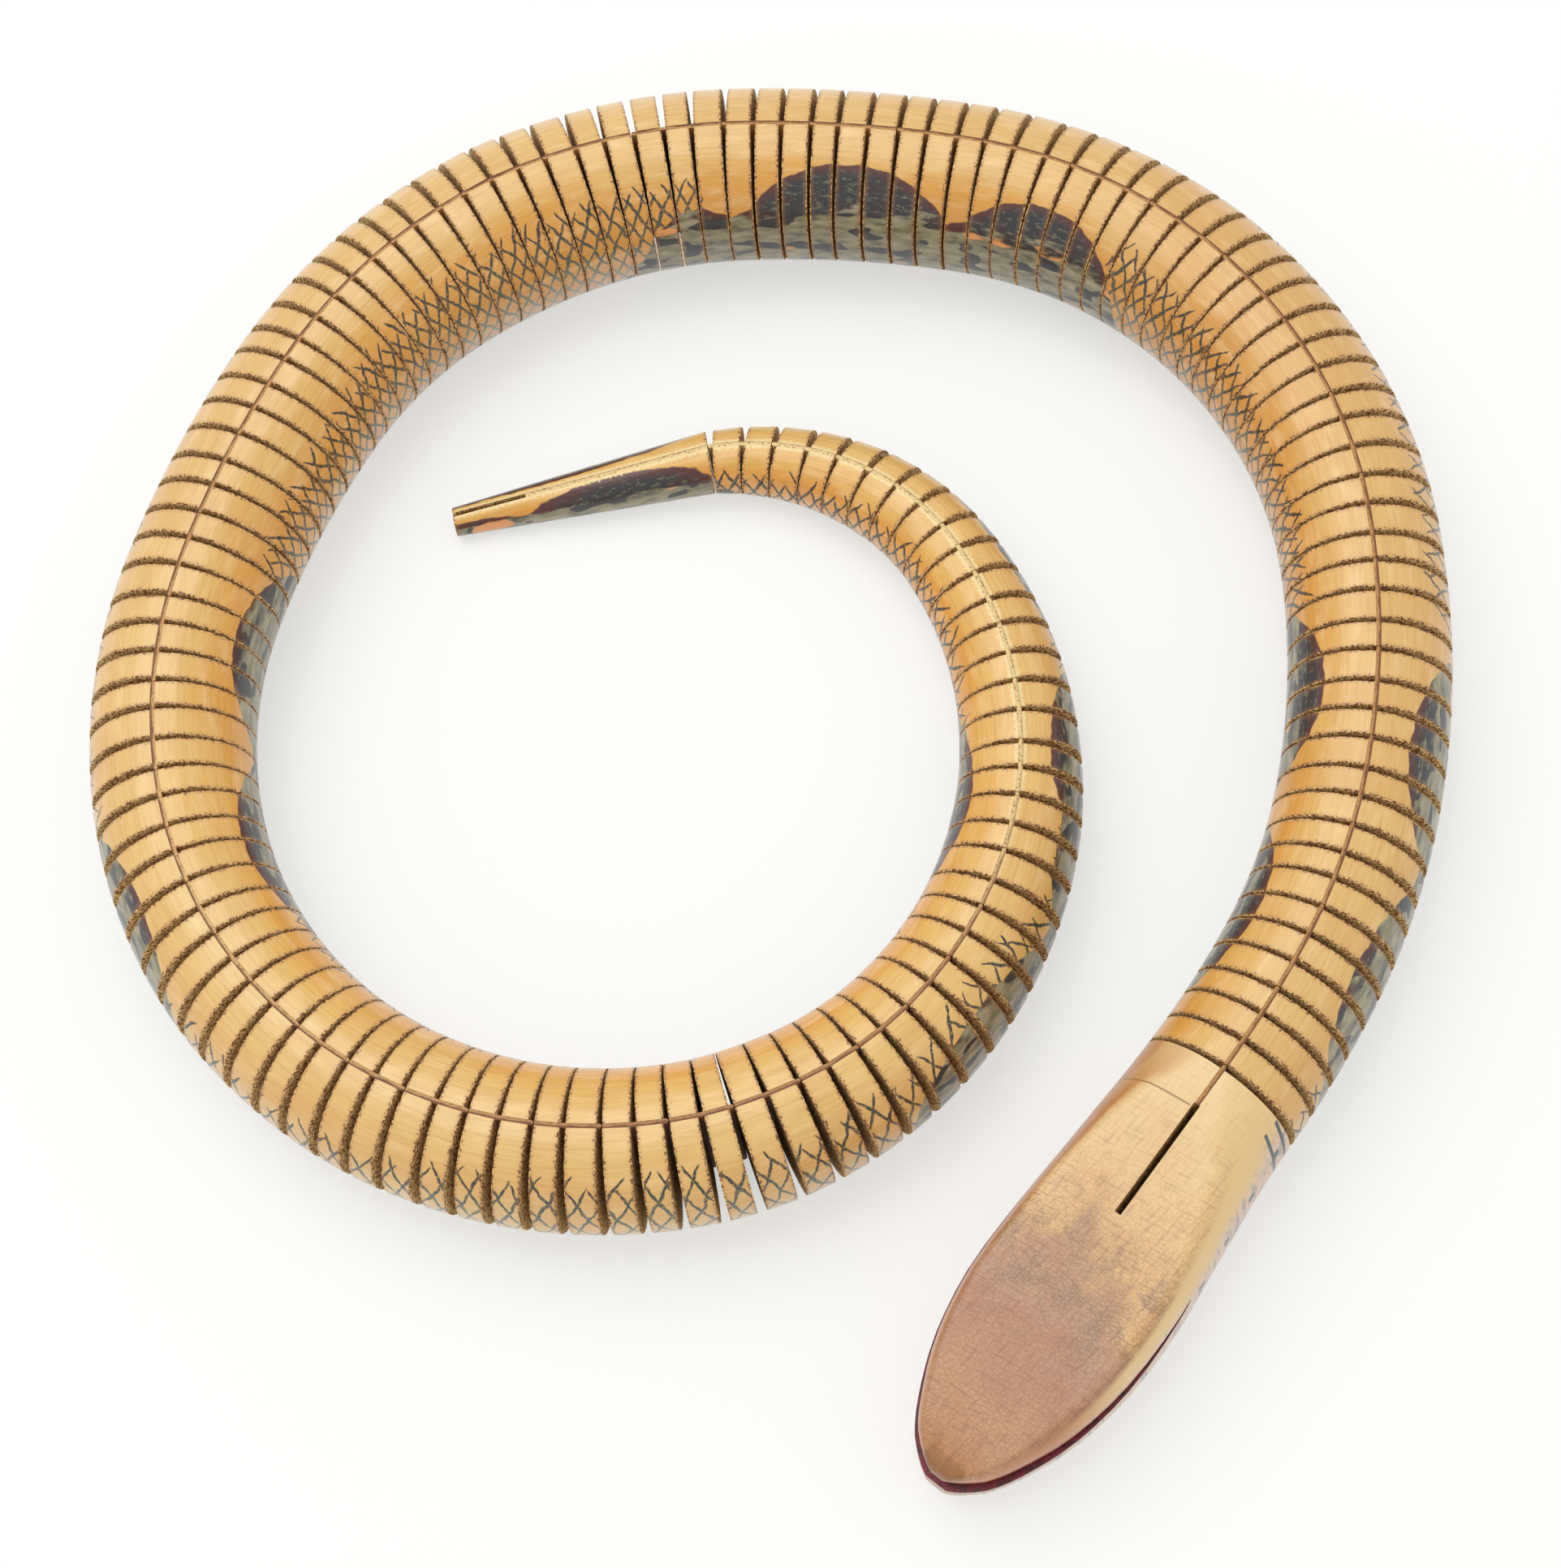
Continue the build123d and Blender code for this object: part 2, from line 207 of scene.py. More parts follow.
# Upper edge of the hatching: kerf number and angle from the top
HATCH_LEFT = (
    (1, 180), (17.4, 180), (17.8, 56), (23, 56), (28, 50), (31, 45), (33, 38), (34.5, 38),
    (35, 180), (49.4, 180), (49.9, 33), (52, 43), (62, 43), (69, 54), (74, 56), (75, 180),
    (86.5, 180), (87, 62), (91, 68), (106, 72), (113, 72), (118, 68), (124, 66), (127, 53),
    (133, 56), (138, 56), (138.2, 180),
)
HATCH_RIGHT = (
    (-4, 60), (3, 70), (4, 180), (16.4, 180), (17.4, 42), (20.4, 44), (24, 50), (33, 58),
    (88, 58), (92, 64), (96, 56), (98, 44), (103, 41), (108, 42), (111, 38), (113, 30),
    (115, 30), (117, 46), (121, 60), (138, 68), (138.2, 180),
)


def linear(code):
    """An sRGB colour, written as hex, as the linear colour that Blender works in."""
    parts = [int(code[n : n + 2], 16) / 255 for n in (1, 3, 5)]
    return [c / 12.92 if c <= 0.04045 else ((c + 0.055) / 1.055) ** 2.4 for c in parts] + [1.0]


def ahead(point, turn, along, aside=0.0):
    """A point so far along a heading and so far to its left."""
    return (
        point[0] + along * cos(turn) - aside * sin(turn),
        point[1] + along * sin(turn) + aside * cos(turn),
    )


def between(start, end, share):
    """A value part of the way from one to another."""
    return start + (end - start) * share


def radius_at(kerf):
    """Radius of the stick at a kerf."""
    for (k0, d0), (k1, d1) in zip(STATIONS, STATIONS[1:]):
        if kerf <= k1:
            return between(d0, d1, (kerf - k0) / (k1 - k0)) / 2
    return STATIONS[-1][1] / 2


def curl_at(kerf):
    """How far the stick turns left at a kerf, and the pitch after it against PITCH."""
    for count, turn, stretch in CURL:
        kerf -= count
        if kerf <= 0:
            return turn, stretch
    return CURL[-1][1:]


def step_after(kerf):
    """Distance from this kerf to the next."""
    even = PITCH * curl_at(kerf)[1]
    return even + PITCH_WANDER * sin(2.4 * kerf - 2.4) + SECOND_WANDER * sin(5.1 * kerf - 4.1)


class Stick:
    """The kerfs' places, and how far along the stick each is."""

    def __init__(self, first_at):
        self.bends = [0.0] + [curl_at(kerf)[0] for kerf in range(1, KERF_COUNT + 1)]
        self.heading = [FIRST_HEADING - self.bends[1]]
        self.points = [None, first_at]
        self.along = [None, 0.0]
        for kerf in range(1, KERF_COUNT + 1):
            self.heading.append(self.heading[-1] + self.bends[kerf])
            if kerf < KERF_COUNT:
                turn, step = radians(self.heading[kerf]), step_after(kerf)
                self.points.append(ahead(self.points[kerf], turn, step))
                self.along.append(self.along[kerf] + step)

    def face(self, kerf, side):
        """A kerf's wall towards the head (-1) or the tail (1): a point on it and its heading."""
        most = degrees((KERF_WIDTH - RIM_GAP) / radius_at(kerf))
        opening = max(-most, min(self.bends[kerf], most))
        middle = (self.heading[kerf - 1] + self.heading[kerf]) / 2
        turn = radians(middle + side * opening / 2)
        return ahead(self.points[kerf], turn, side * KERF_WIDTH / 2), turn


first_hinge = frame["joints"][0]["pos_m"]
STICK = Stick((first_hinge[0] / MM, first_hinge[1] / MM))
JOINT_KERFS = [1 + FRONT_PIECES * n for n in range(FRONT_BLOCKS)]
JOINT_KERFS += list(range(1 + FRONT_PIECES * FRONT_BLOCKS, KERF_COUNT, REAR_PIECES)) + [KERF_COUNT]
HEAD_TURN = radians(STICK.heading[0] + 180)
HEAD_START = Vector((*STICK.points[1], 0))


def cut_away(bm, point, normal):
    """Saws off what lies beyond a plane and closes the cut. Returns the new face."""
    everything = bm.verts[:] + bm.edges[:] + bm.faces[:]
    cut = bmesh.ops.bisect_plane(
        bm, geom=everything, plane_co=point, plane_no=normal, clear_outer=True
    )
    edges = [item for item in cut["geom_cut"] if isinstance(item, bmesh.types.BMEdge)]
    return bmesh.ops.contextual_create(bm, geom=edges)["faces"][0]


def round_stick(start, end, r0, r1, extra):
    """A round tapered length lying on the floor, longer by extra at both ends."""
    length = hypot(end[0] - start[0], end[1] - start[1])
    slope = (r1 - r0) / length
    turn = atan2(end[1] - start[1], end[0] - start[0])
    middle = ahead(start, turn, length / 2)
    along = Vector((cos(turn), sin(turn), slope)).normalized()
    aside = Vector((-sin(turn), cos(turn), 0))
    place = Matrix((aside, along.cross(aside), along)).transposed().to_4x4()
    place.translation = (*middle, (r0 + r1) / 2)
    bm = bmesh.new()
    bmesh.ops.create_cone(
        bm,
        cap_ends=True,
        segments=STICK_SIDES,
        radius1=r0 - slope * extra,
        radius2=r1 + slope * extra,
        depth=length + 2 * extra,
        matrix=place,
    )
    return bm


class Layers:
    """What each point of a wooden piece tells its material: how far along the stick and round
    from the top it is, how near to a saw cut, and how deep in paint."""

    def __init__(self, bm):
        self.skin = bm.loops.layers.uv.new("skin")
        self.rim = bm.loops.layers.uv.new("rim")
        self.angle = bm.verts.layers.float.new("angle")
        self.blotch = bm.verts.layers.float.new("blotch")
        self.hatch = bm.verts.layers.float.new("hatch")
        self.tone = bm.verts.layers.float.new("tone")


def blotch_depth(kerf, angle, radius):
    """How deep a place lies inside a painted blotch, in millimetres; below 0 outside."""
    best = -OUTSIDE
    for first, last, top, low in BLOTCHES:
        if angle * top < 0:
            continue
        middle, half = (first + last) / 2, (last - first) / 2
        across = radians(abs(angle) - low) * radius
        high = radians(low - abs(top)) * radius
        reach = hypot((kerf - middle) / half, across / high)
        best = max(best, (1 - reach) * min(half * PITCH, high))
    return best


def hatch_depth(kerf, angle, radius):
    """How far below the ragged upper edge of the hatching a place is, in millimetres."""
    edge = HATCH_LEFT if angle > 0 else HATCH_RIGHT
    for (k0, a0), (k1, a1) in zip(edge, edge[1:]):
        if kerf <= k1:
            return radians(abs(angle) - between(a0, a1, (kerf - k0) / (k1 - k0))) * radius
    return radians(abs(angle) - edge[-1][1]) * radius


def fray(along, around):
    """How much of an edge broke away at a place on it, from 0 to 1."""
    rough = noise.noise(Vector((along / FRAY_DEPTH, around / FRAY_SIZE, 3.1)))
    worn = noise.noise(Vector((along / FRAY_DEPTH, around / WORN_SIZE, 8.3)))
    return min(1.0, max(0.0, 0.25 + 0.9 * rough + 0.6 * worn))


def sawn_half(kerf, start, end, r0, r1, front, back, side, span, rings):
    """One half of a sawn piece, with worn edges, in a mesh of its own. Front and back are saw
    faces, each a point and a heading. Side is 1 for the left half and -1 for the right one. Span
    is how many kerfs' pitch the piece is long, and rings how many rings of faces it has."""
    bm = round_stick(start, end, r0, r1, SPARE_LENGTH)
    length = hypot(end[0] - start[0], end[1] - start[1])
    turn = atan2(end[1] - start[1], end[0] - start[0])
    toward = Vector((cos(turn), sin(turn), 0))
    aside = Vector((-sin(turn), cos(turn), 0))
    foot = Vector((*start, 0))
    slit = STRIP_THICKNESS / 2
    cut_away(bm, foot + aside * side * slit, -side * aside)
    faces = []
    for (point, heading), way in ((front, -1), (back, 1)):
        square = Vector((cos(heading), sin(heading), 0)) * way
        faces.append((Vector((*point, 0)), square))
        cut_away(bm, *faces[-1])
    for ring in range(1, rings):
        plane = foot + toward * length * ring / rings
        everything = bm.verts[:] + bm.edges[:] + bm.faces[:]
        bmesh.ops.bisect_plane(bm, geom=everything, plane_co=plane, plane_no=toward)
    rims = []
    for edge in bm.edges:
        sawn = any(all(abs((v.co - p).dot(s)) < TOUCHING for v in edge.verts) for p, s in faces)
        slitted = all(abs((v.co - foot).dot(aside)) < slit + TOUCHING for v in edge.verts)
        if sawn and not slitted:
            rims.append(edge)
    worn = bmesh.ops.bevel(
        bm, geom=rims, offset=RIM_WEAR, segments=1, profile=0.5, affect="EDGES", material=-1
    )
    for face in worn["faces"]:
        face.material_index = FRAYED
    bm.normal_update()
    for face in bm.faces:
        sawn = any(face.normal.dot(s) > FLAT for _, s in faces)
        if sawn or face.normal.dot(aside) * side < -FLAT:
            face.material_index = SAWN
    layers = Layers(bm)
    tone = noise.noise(Vector((kerf * 0.73, 4.2, 1.7)))
    along0 = STICK.along[kerf]
    for vert in bm.verts:
        offset = vert.co - foot
        near = [(point - vert.co).dot(square) for point, square in faces]
        share = offset.dot(toward)
        radius = between(r0, r1, share / length)
        around = atan2(offset.dot(aside), vert.co.z - radius) * radius
        edged = any(face.material_index == FRAYED for face in vert.link_faces)
        if edged and min(near) > RIM_WEAR / 4:
            last = near[1] < near[0]
            loss = RIM_FRAY * fray(along0 + length * last, around)
            vert.co -= faces[last][1] * loss
            near[last] += loss
            share -= loss if last else -loss
        place = kerf + span * share / length
        angle = degrees(around / radius)
        vert[layers.angle] = angle
        vert[layers.blotch] = blotch_depth(place, angle, radius)
        vert[layers.hatch] = hatch_depth(place, angle, radius)
        vert[layers.tone] = tone
        for loop in vert.link_loops:
            loop[layers.skin].uv = (along0 + share, around)
            loop[layers.rim].uv = near
    for face in bm.faces:
        face.smooth = face.material_index != SAWN
    for edge in bm.edges:
        if len({face.material_index for face in edge.link_faces}) > 1:
            edge.smooth = False
    return bm


def as_mesh(name, bm, materials=()):
    """A mesh with its materials, made of a bmesh, which it uses up."""
    mesh = bpy.data.meshes.new(name)
    bm.to_mesh(mesh)
    bm.free()
    for material in materials:
        mesh.materials.append(material)
    return mesh


def placed(name, data):
    """A new object in the scene."""
    made = bpy.data.objects.new(name, data)
    bpy.context.scene.collection.objects.link(made)
    return made


def joined(parts):
    """Several meshes as one."""
    whole = bmesh.new()
    for bm in parts:
        mesh = as_mesh("part", bm)
        whole.from_mesh(mesh)
        bpy.data.meshes.remove(mesh)
    return whole


def piece(name, bm, materials, body, nodes):
    """Finishes a piece: it is in metres, rides on its body and stands for the part's nodes."""
    bmesh.ops.scale(bm, vec=(MM, MM, MM), verts=bm.verts)
    made = placed(name, as_mesh(name, bm, materials))
    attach(made, body)
    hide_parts(*nodes)


def strip_length(line, round_end):
    """A length of the strip along a line of points, each with the height of the strip there and
    how far along the stick it is."""
    half = STRIP_THICKNESS / 2 - STRIP_PLAY
    turns = [atan2(b[0][1] - a[0][1], b[0][0] - a[0][0]) for a, b in zip(line, line[1:])]
    left, right = [], []
    for n, (point, top, along) in enumerate(line):
        turn = (turns[max(0, n - 1)] + turns[min(n, len(turns) - 1)]) / 2
        left.append((ahead(point, turn, 0, half), top, along, half))
        right.append((ahead(point, turn, 0, -half), top, along, -half))
    tip = []
    if round_end:
        point, top, along = line[-1]
        for part in (0.25, 0.5, 0.75):
            out, over = half * sin(pi * part), -half * cos(pi * part)
            tip.append((ahead(point, turns[-1], out, over), top, along + out, over))
    outline = right + tip + left[::-1]
    bm = bmesh.new()
    skin = bm.loops.layers.uv.new("skin")
    plan = bm.faces.new([bm.verts.new((*spot, STRIP_DEPTH)) for spot, _, _, _ in outline])
    grown = bmesh.ops.extrude_face_region(bm, geom=[plan])["geom"]
    raised = {item for item in grown if isinstance(item, bmesh.types.BMVert)}
    for vert in bm.verts:
        _, top, along, over = min(
            outline, key=lambda row: hypot(row[0][0] - vert.co.x, row[0][1] - vert.co.y)
        )
        if vert in raised:
            vert.co.z = top
        for loop in vert.link_loops:
            loop[skin].uv = (along, over)
    bmesh.ops.recalc_face_normals(bm, faces=bm.faces[:])
    return bm


def strip_line(first, last):
    """The strip's line from just past one jointed kerf to the next one."""
    gap = STRIP_THICKNESS / 2 + HINGE_GAP
    turn = radians(STICK.heading[first])
    past = ahead(STICK.points[first], turn, gap)
    line = [(past, 2 * radius_at(first) - STRIP_DEPTH, STICK.along[first] + gap)]
    for kerf in range(first + 1, last + 1):
        line.append((STICK.points[kerf], 2 * radius_at(kerf) - STRIP_DEPTH, STICK.along[kerf]))
    return line


def body_block(number):
    """The sawn pieces from one jointed kerf to the next, and the strip between them."""
    first, last = JOINT_KERFS[number - 1], JOINT_KERFS[number]
    halves = []
    for kerf in range(first, last):
        ends = (STICK.points[kerf], STICK.points[kerf + 1], radius_at(kerf), radius_at(kerf + 1))
        faces = (STICK.face(kerf, 1), STICK.face(kerf + 1, -1))
        halves += [sawn_half(kerf, *ends, *faces, side, 1, 1) for side in (1, -1)]
    node, body = f"body_block_{number:02d}", f"block_{number:02d}"
    piece(f"wood_{number:02d}", joined(halves), WOOD, body, [node])
    strip = strip_length(strip_line(first, last), True)
    piece(f"strip_{number:02d}", strip, [GLUED_STRIP], body, [node])


def tail():
    """The tail tip: two halves sawn square at the end, and the last of the strip."""
    start, turn = STICK.points[KERF_COUNT], radians(STICK.heading[KERF_COUNT])
    end = ahead(start, turn, TAIL_TIP_LENGTH)
    radius = radius_at(KERF_COUNT)
    for side, name in ((1, "left"), (-1, "right")):
        half = sawn_half(
            KERF_COUNT,
            start,
            end,
            radius,
            TAIL_END_RADIUS,
            STICK.face(KERF_COUNT, 1),
            (end, turn),
            side,
            TAIL_TIP_LENGTH / step_after(KERF_COUNT),
            TAIL_RINGS,
        )
        piece(f"tail_wood_{name}", half, WOOD, "tail", [f"tail_{name}"])
    gap = STRIP_THICKNESS / 2 + HINGE_GAP
    line = []
    for reach in (gap, TAIL_STRIP / 2, TAIL_STRIP):
        top = 2 * between(radius, TAIL_END_RADIUS, reach / TAIL_TIP_LENGTH) - STRIP_DEPTH
        line.append((ahead(start, turn, reach), top, STICK.along[KERF_COUNT] + reach))
    strip = strip_length(line, False)
    piece("strip_tail", strip, [GLUED_STRIP], "tail", ["tail_strip"])


def eased(share, column):
    """A column of the head's table at a share of its length, as a smooth curve."""
    rows = HEAD_SECTIONS
    n = max(0, min(len(rows) - 2, sum(row[0] <= share for row in rows) - 1))
    (s0, v0), (s1, v1) = [(row[0], row[column]) for row in rows[n : n + 2]]
    before, after = rows[max(0, n - 1)], rows[min(len(rows) - 1, n + 2)]
    m0 = (v1 - before[column]) / (s1 - before[0])
    m1 = (after[column] - v0) / (after[0] - s0)
    t, gap = (share - s0) / (s1 - s0), s1 - s0
    return (
        (2 * t**3 - 3 * t**2 + 1) * v0
        + (t**3 - 2 * t**2 + t) * gap * m0
        + (3 * t**2 - 2 * t**3) * v1
        + (t**3 - t**2) * gap * m1
    )


def head_shape(share):
    """Width, top, flat share of the width, underside, widest height and shift of the head."""
    neck, width, fall, flat_share, rise, drop = [eased(share, column) for column in range(1, 7)]
    return (
        between(HEAD_WIDTH, NECK_WIDTH, neck) * width,
        between(CROWN_HEIGHT, NOSE_HEIGHT, fall),
        flat_share,
        CHIN_HEIGHT * rise,
        between(CHEEK_HEIGHT, SNOUT_LINE, drop),
        HEAD_ASIDE * (1 - neck),
    )


def section_spot(turn, shape):
    """A point of the head's outline, by its angle round the section from the left side upward."""
    width, top, flat_share, base, widest, shift = shape
    half = width / 2
    crown = (top - widest) / (1 - flat_share**2) ** 0.5
    if turn < 0:
        return shift + half * cos(turn), widest + (widest - base) * sin(turn)
    return shift + half * cos(turn), min(top, widest + crown * sin(turn))


def head_mesh():
    """The carved head, before its slot and mouth are sawn."""
    bm = bmesh.new()
    rings = []
    for share in HEAD_STATIONS:
        shape = head_shape(share)
        ring = bmesh.ops.create_circle(bm, cap_ends=False, segments=HEAD_SIDES)["verts"]
        for n, vert in enumerate(ring):
            across, height = section_spot(2 * pi * (n + 0.5) / HEAD_SIDES - pi, shape)
            vert.co = (*ahead(STICK.points[1], HEAD_TURN, share * HEAD_LENGTH, across), height)
        rings.append(ring)
    for ring, following in zip(rings, rings[1:]):
        edges = {edge for vert in ring for edge in vert.link_edges if edge.other_vert(vert) in ring}
        edges |= {e for v in following for e in v.link_edges if e.other_vert(v) in following}
        bmesh.ops.bridge_loops(bm, edges=list(edges))
    for ring in (rings[0], rings[-1]):
        bmesh.ops.contextual_create(bm, geom=ring)
    bmesh.ops.recalc_face_normals(bm, faces=bm.faces[:])
    for face in bm.faces:
        face.smooth = True
    point, heading = STICK.face(1, -1)
    wall = cut_away(bm, (*point, 0), (cos(heading), sin(heading), 0))
    wall.material_index = SAWN
    wall.smooth = False
    for edge in wall.edges:
        edge.smooth = False
    return bm


def sawn_from(carved, cutter, index):
    """The carved mesh without what the cutter's mesh covers. The cut's walls wear that slot."""
    for face in cutter.faces:
        face.material_index = index
    pair = [placed("blank", as_mesh("blank", bm, HEAD_WOOD)) for bm in (carved, cutter)]
    saw = pair[0].modifiers.new("saw", "BOOLEAN")
    saw.operation = "DIFFERENCE"
    saw.solver = "EXACT"
    saw.object = pair[1]
    depsgraph = bpy.context.evaluated_depsgraph_get()
    cut = bpy.data.meshes.new_from_object(pair[0].evaluated_get(depsgraph))
    bm = bmesh.new()
    bm.from_mesh(cut)
    for made in pair:
        bpy.data.objects.remove(made)
    return bm


def head_box(start, end, width, low, high):
    """A box in line with the head, from one distance to another from the first kerf."""
    middle = ahead(STICK.points[1], HEAD_TURN, (start + end) / 2)
    place = Matrix.Translation((*middle, (low + high) / 2)) @ Matrix.Rotation(HEAD_TURN, 4, "Z")
    place = place @ Matrix.Diagonal((end - start, width, high - low, 1))
    bm = bmesh.new()
    bmesh.ops.create_cube(bm, size=1, matrix=place)
    return bm


def mouth_at(along):
    """The height of the mouth's middle and its opening, so far from the first kerf."""
    share = (along - MOUTH_START) / (MOUTH_END - MOUTH_START)
    middle = between(MOUTH_CORNER_HEIGHT, MOUTH_NOSE_HEIGHT, share)
    return middle, between(MOUTH_CORNER, MOUTH_OPENING, share)


def mouth_wedge():
    """What the saw took out for the mouth: a wedge across the head that widens to the nose."""
    bm = head_box(MOUTH_START, MOUTH_END, 2 * HEAD_WIDTH, 0, 1)
    toward = Vector((cos(HEAD_TURN), sin(HEAD_TURN), 0))
    for vert in bm.verts:
        along = (vert.co - HEAD_START).dot(toward)
        middle, opening = mouth_at(along)
        vert.co.z = middle + opening * (vert.co.z - 0.5)
    return bm


def measured(carved):
    """Rubs the upper lip back, and tells the head's material how far along and across each point
    is, and how far below the planed top and below the mouth."""
    skin = carved.loops.layers.uv.new("skin")
    below = carved.verts.layers.float.new("drop")
    lips = carved.verts.layers.float.new("lips")
    toward = Vector((cos(HEAD_TURN), sin(HEAD_TURN), 0))
    aside = Vector((-sin(HEAD_TURN), cos(HEAD_TURN), 0))
    for vert in carved.verts:
        offset = vert.co - HEAD_START
        along, across = offset.dot(toward), offset.dot(aside)
        share = max(HEAD_STATIONS[0], min(1, along / HEAD_LENGTH))
        vert[below] = head_shape(share)[1] - vert.co.z
        middle, opening = mouth_at(along)
        vert[lips] = middle - opening / 2 - vert.co.z
        above = -vert[lips] - opening
        if -0.01 < above < LIP_HEIGHT and along > MOUTH_START:
            worn = (1 - above / LIP_HEIGHT) * (along - MOUTH_START) / (HEAD_LENGTH - MOUTH_START)
            inward = HEAD_START + toward * min(along, HEAD_LENGTH - HEAD_WIDTH / 2) - vert.co
            vert.co += Vector((inward.x, inward.y, 0)).normalized() * LIP_ROUND * worn
        for loop in vert.link_loops:
            loop[skin].uv = (along, across)


def head():
    """The head with the end of its slit and its mouth, and the end of the strip in it."""
    carved = head_mesh()
    deep = 2 * CROWN_HEIGHT
    slit = head_box(-HEAD_STRIP, HEAD_STRIP, STRIP_THICKNESS, -1, deep)
    carved = sawn_from(carved, slit, SAWN)
    slot = head_box(HEAD_STRIP - 0.01, SLOT_LENGTH, SLOT_WIDTH, -1, deep)
    carved = sawn_from(carved, slot, SAWN)
    carved = sawn_from(carved, mouth_wedge(), MOUTH_PAINT)
    measured(carved)
    piece("head_wood", carved, HEAD_WOOD, "head", ["head"])
    turn = radians(STICK.heading[0])
    line = []
    for reach in (HEAD_STRIP, HEAD_STRIP / 2, 0):
        top = head_shape(reach / HEAD_LENGTH)[1] - STRIP_DEPTH
        line.append((ahead(STICK.points[1], turn, -reach), top, -reach))
    strip = strip_length(line, True)
    piece("strip_head", strip, [GLUED_STRIP], "head", ["head_strip"])


def node(tree, kind, inputs=None, stops=(), **settings):
    """Adds a node with its settings and the stops of its colour ramp. An input is a value, a hex
    colour, a socket, or a node, whose first live output is linked."""
    made = tree.nodes.new("ShaderNode" + kind)
    for name, value in settings.items():
        setattr(made, name, value)
    if stops:
        ramp = made.color_ramp.elements
        for end, (place, code) in zip(ramp[:], (stops[0], stops[-1])):
            end.position = place
            end.color = linear(code)
        for place, code in stops[1:-1]:
            ramp.new(place).color = linear(code)
    for key, value in (inputs or {}).items():
        if isinstance(value, bpy.types.Node):
            value = next(socket for socket in value.outputs if socket.enabled)
        if isinstance(value, bpy.types.NodeSocket):
            tree.links.new(value, made.inputs[key])
        else:
            made.inputs[key].default_value = linear(value) if isinstance(value, str) else value
    return made


def new_material(name):
    """An empty node material, its output, and what adds nodes to it."""
    made = bpy.data.materials.new(name)
    made.use_nodes = True
    made.node_tree.nodes.clear()
    add = partial(node, made.node_tree)
    return made, add("OutputMaterial"), add


def finished(made, output, add, colour, height, deep_mm, **gloss):
    """Gives a material its shader: a colour, a relief so deep, and its gloss."""
    inputs = {"Height": height, "Strength": 1.0, "Distance": deep_mm * MM}
    bump = add("Bump", inputs)
    inputs = {name.replace("_", " "): value for name, value in gloss.items()}
    shader = add("BsdfPrincipled", {"Base Color": colour, "Normal": bump, **inputs})
    made.node_tree.links.new(shader.outputs[0], output.inputs[0])
    return made


def hatching(add, along, around, hatch, colour):
    """Two families of brush strokes that cross in diamonds. Their dark grey-green ink pales to
    blue-grey down the flank, which is a painted reflection of the pale floor in the varnish. Each
    stroke starts at a height of its own, thin, and the brush runs dry in places."""
    skin = add("UVMap", uv_map="skin")
    shake = add("TexNoise", {"Vector": skin, "Scale": 1 / 6, "Detail": 2.0})
    shake = add("MapRange", {0: shake, 1: 0.0, 2: 1.0, 3: -1.3, 4: 1.3})
    uneven = add("TexNoise", {"Vector": skin, "Scale": 1 / 0.9, "Detail": 2.0})
    spacing = add("MapRange", {0: around, 1: -0.01, 2: 0.01, 3: OUTER_HATCH, 4: INNER_HATCH})
    strokes = 0.0
    for lean, seed in ((HATCH_LEAN, 0.5), (-HATCH_LEAN, 40.5)):
        run = add("Math", {0: around, 1: lean, 2: along}, operation="MULTIPLY_ADD")
        run = add("Math", {0: run, 1: shake}, operation="ADD")
        count = add("Math", {0: run, 1: spacing}, operation="DIVIDE")
        number = add("Math", {0: count}, operation="FLOOR")
        own = add("Math", {0: number, 1: seed}, operation="ADD")
        chance = add("TexWhiteNoise", {"W": own}, noise_dimensions="1D").outputs["Value"]
        start = add("MapRange", {0: chance, 3: -0.9, 4: 2.2})
        reach = add("Math", {0: hatch, 1: start}, operation="ADD")
        off = add("Math", {0: count, 1: 1.0}, operation="PINGPONG")
        off = add("MapRange", {0: off, 1: 0.0, 2: 1.0, 3: -0.5, 4: 0.5})
        off = add("Math", {0: off}, operation="ABSOLUTE")
        off = add("Math", {0: off, 1: spacing}, operation="MULTIPLY")
        width = add("MapRange", {0: uneven, 1: 0.3, 2: 0.7, 3: 0.2, 4: 0.42})
        thin = add("MapRange", {0: reach, 1: -0.2, 2: 1.8, 3: 0.5, 4: 1.0})
        width = add("Math", {0: width, 1: thin}, operation="MULTIPLY")
        edge = add("Math", {0: off, 1: width}, operation="SUBTRACT")
        line = add("MapRange", {0: edge, 1: -0.1, 2: 0.07, 3: 1.0, 4: 0.0})
        begun = add("MapRange", {0: reach, 1: -0.2, 2: 0.2})
        line = add("Math", {0: line, 1: begun}, operation="MULTIPLY")
        strokes = add("Math", {0: line, 1: strokes}, operation="MAXIMUM")
    dry = add("TexNoise", {"Vector": skin, "Scale": 1 / 0.5, "Detail": 3.0})
    dry = add("MapRange", {0: dry, 1: 0.33, 2: 0.5, 3: 0.6, 4: 1.0})
    strokes = add("Math", {0: strokes, 1: dry}, operation="MULTIPLY")
    # The ink is dark at the strokes' upper ends; its paling further down the flank is a painted
    # reflection of the pale floor in the varnish
    down = add("MapRange", {0: hatch, 1: 0.0, 2: 16.0})
    inks_and_floor_reflection = (
        (0.0, "#221F18"),
        (0.2, "#34362A"),
        (0.5, "#4E5448"),
        (0.85, "#767E70"),
        (1.0, "#8C9488"),
    )
    ink_and_floor_reflection = add("ValToRGB", {0: down}, stops=inks_and_floor_reflection)
    return add("Mix", {0: strokes, 6: colour, 7: ink_and_floor_reflection}, data_type="RGBA")


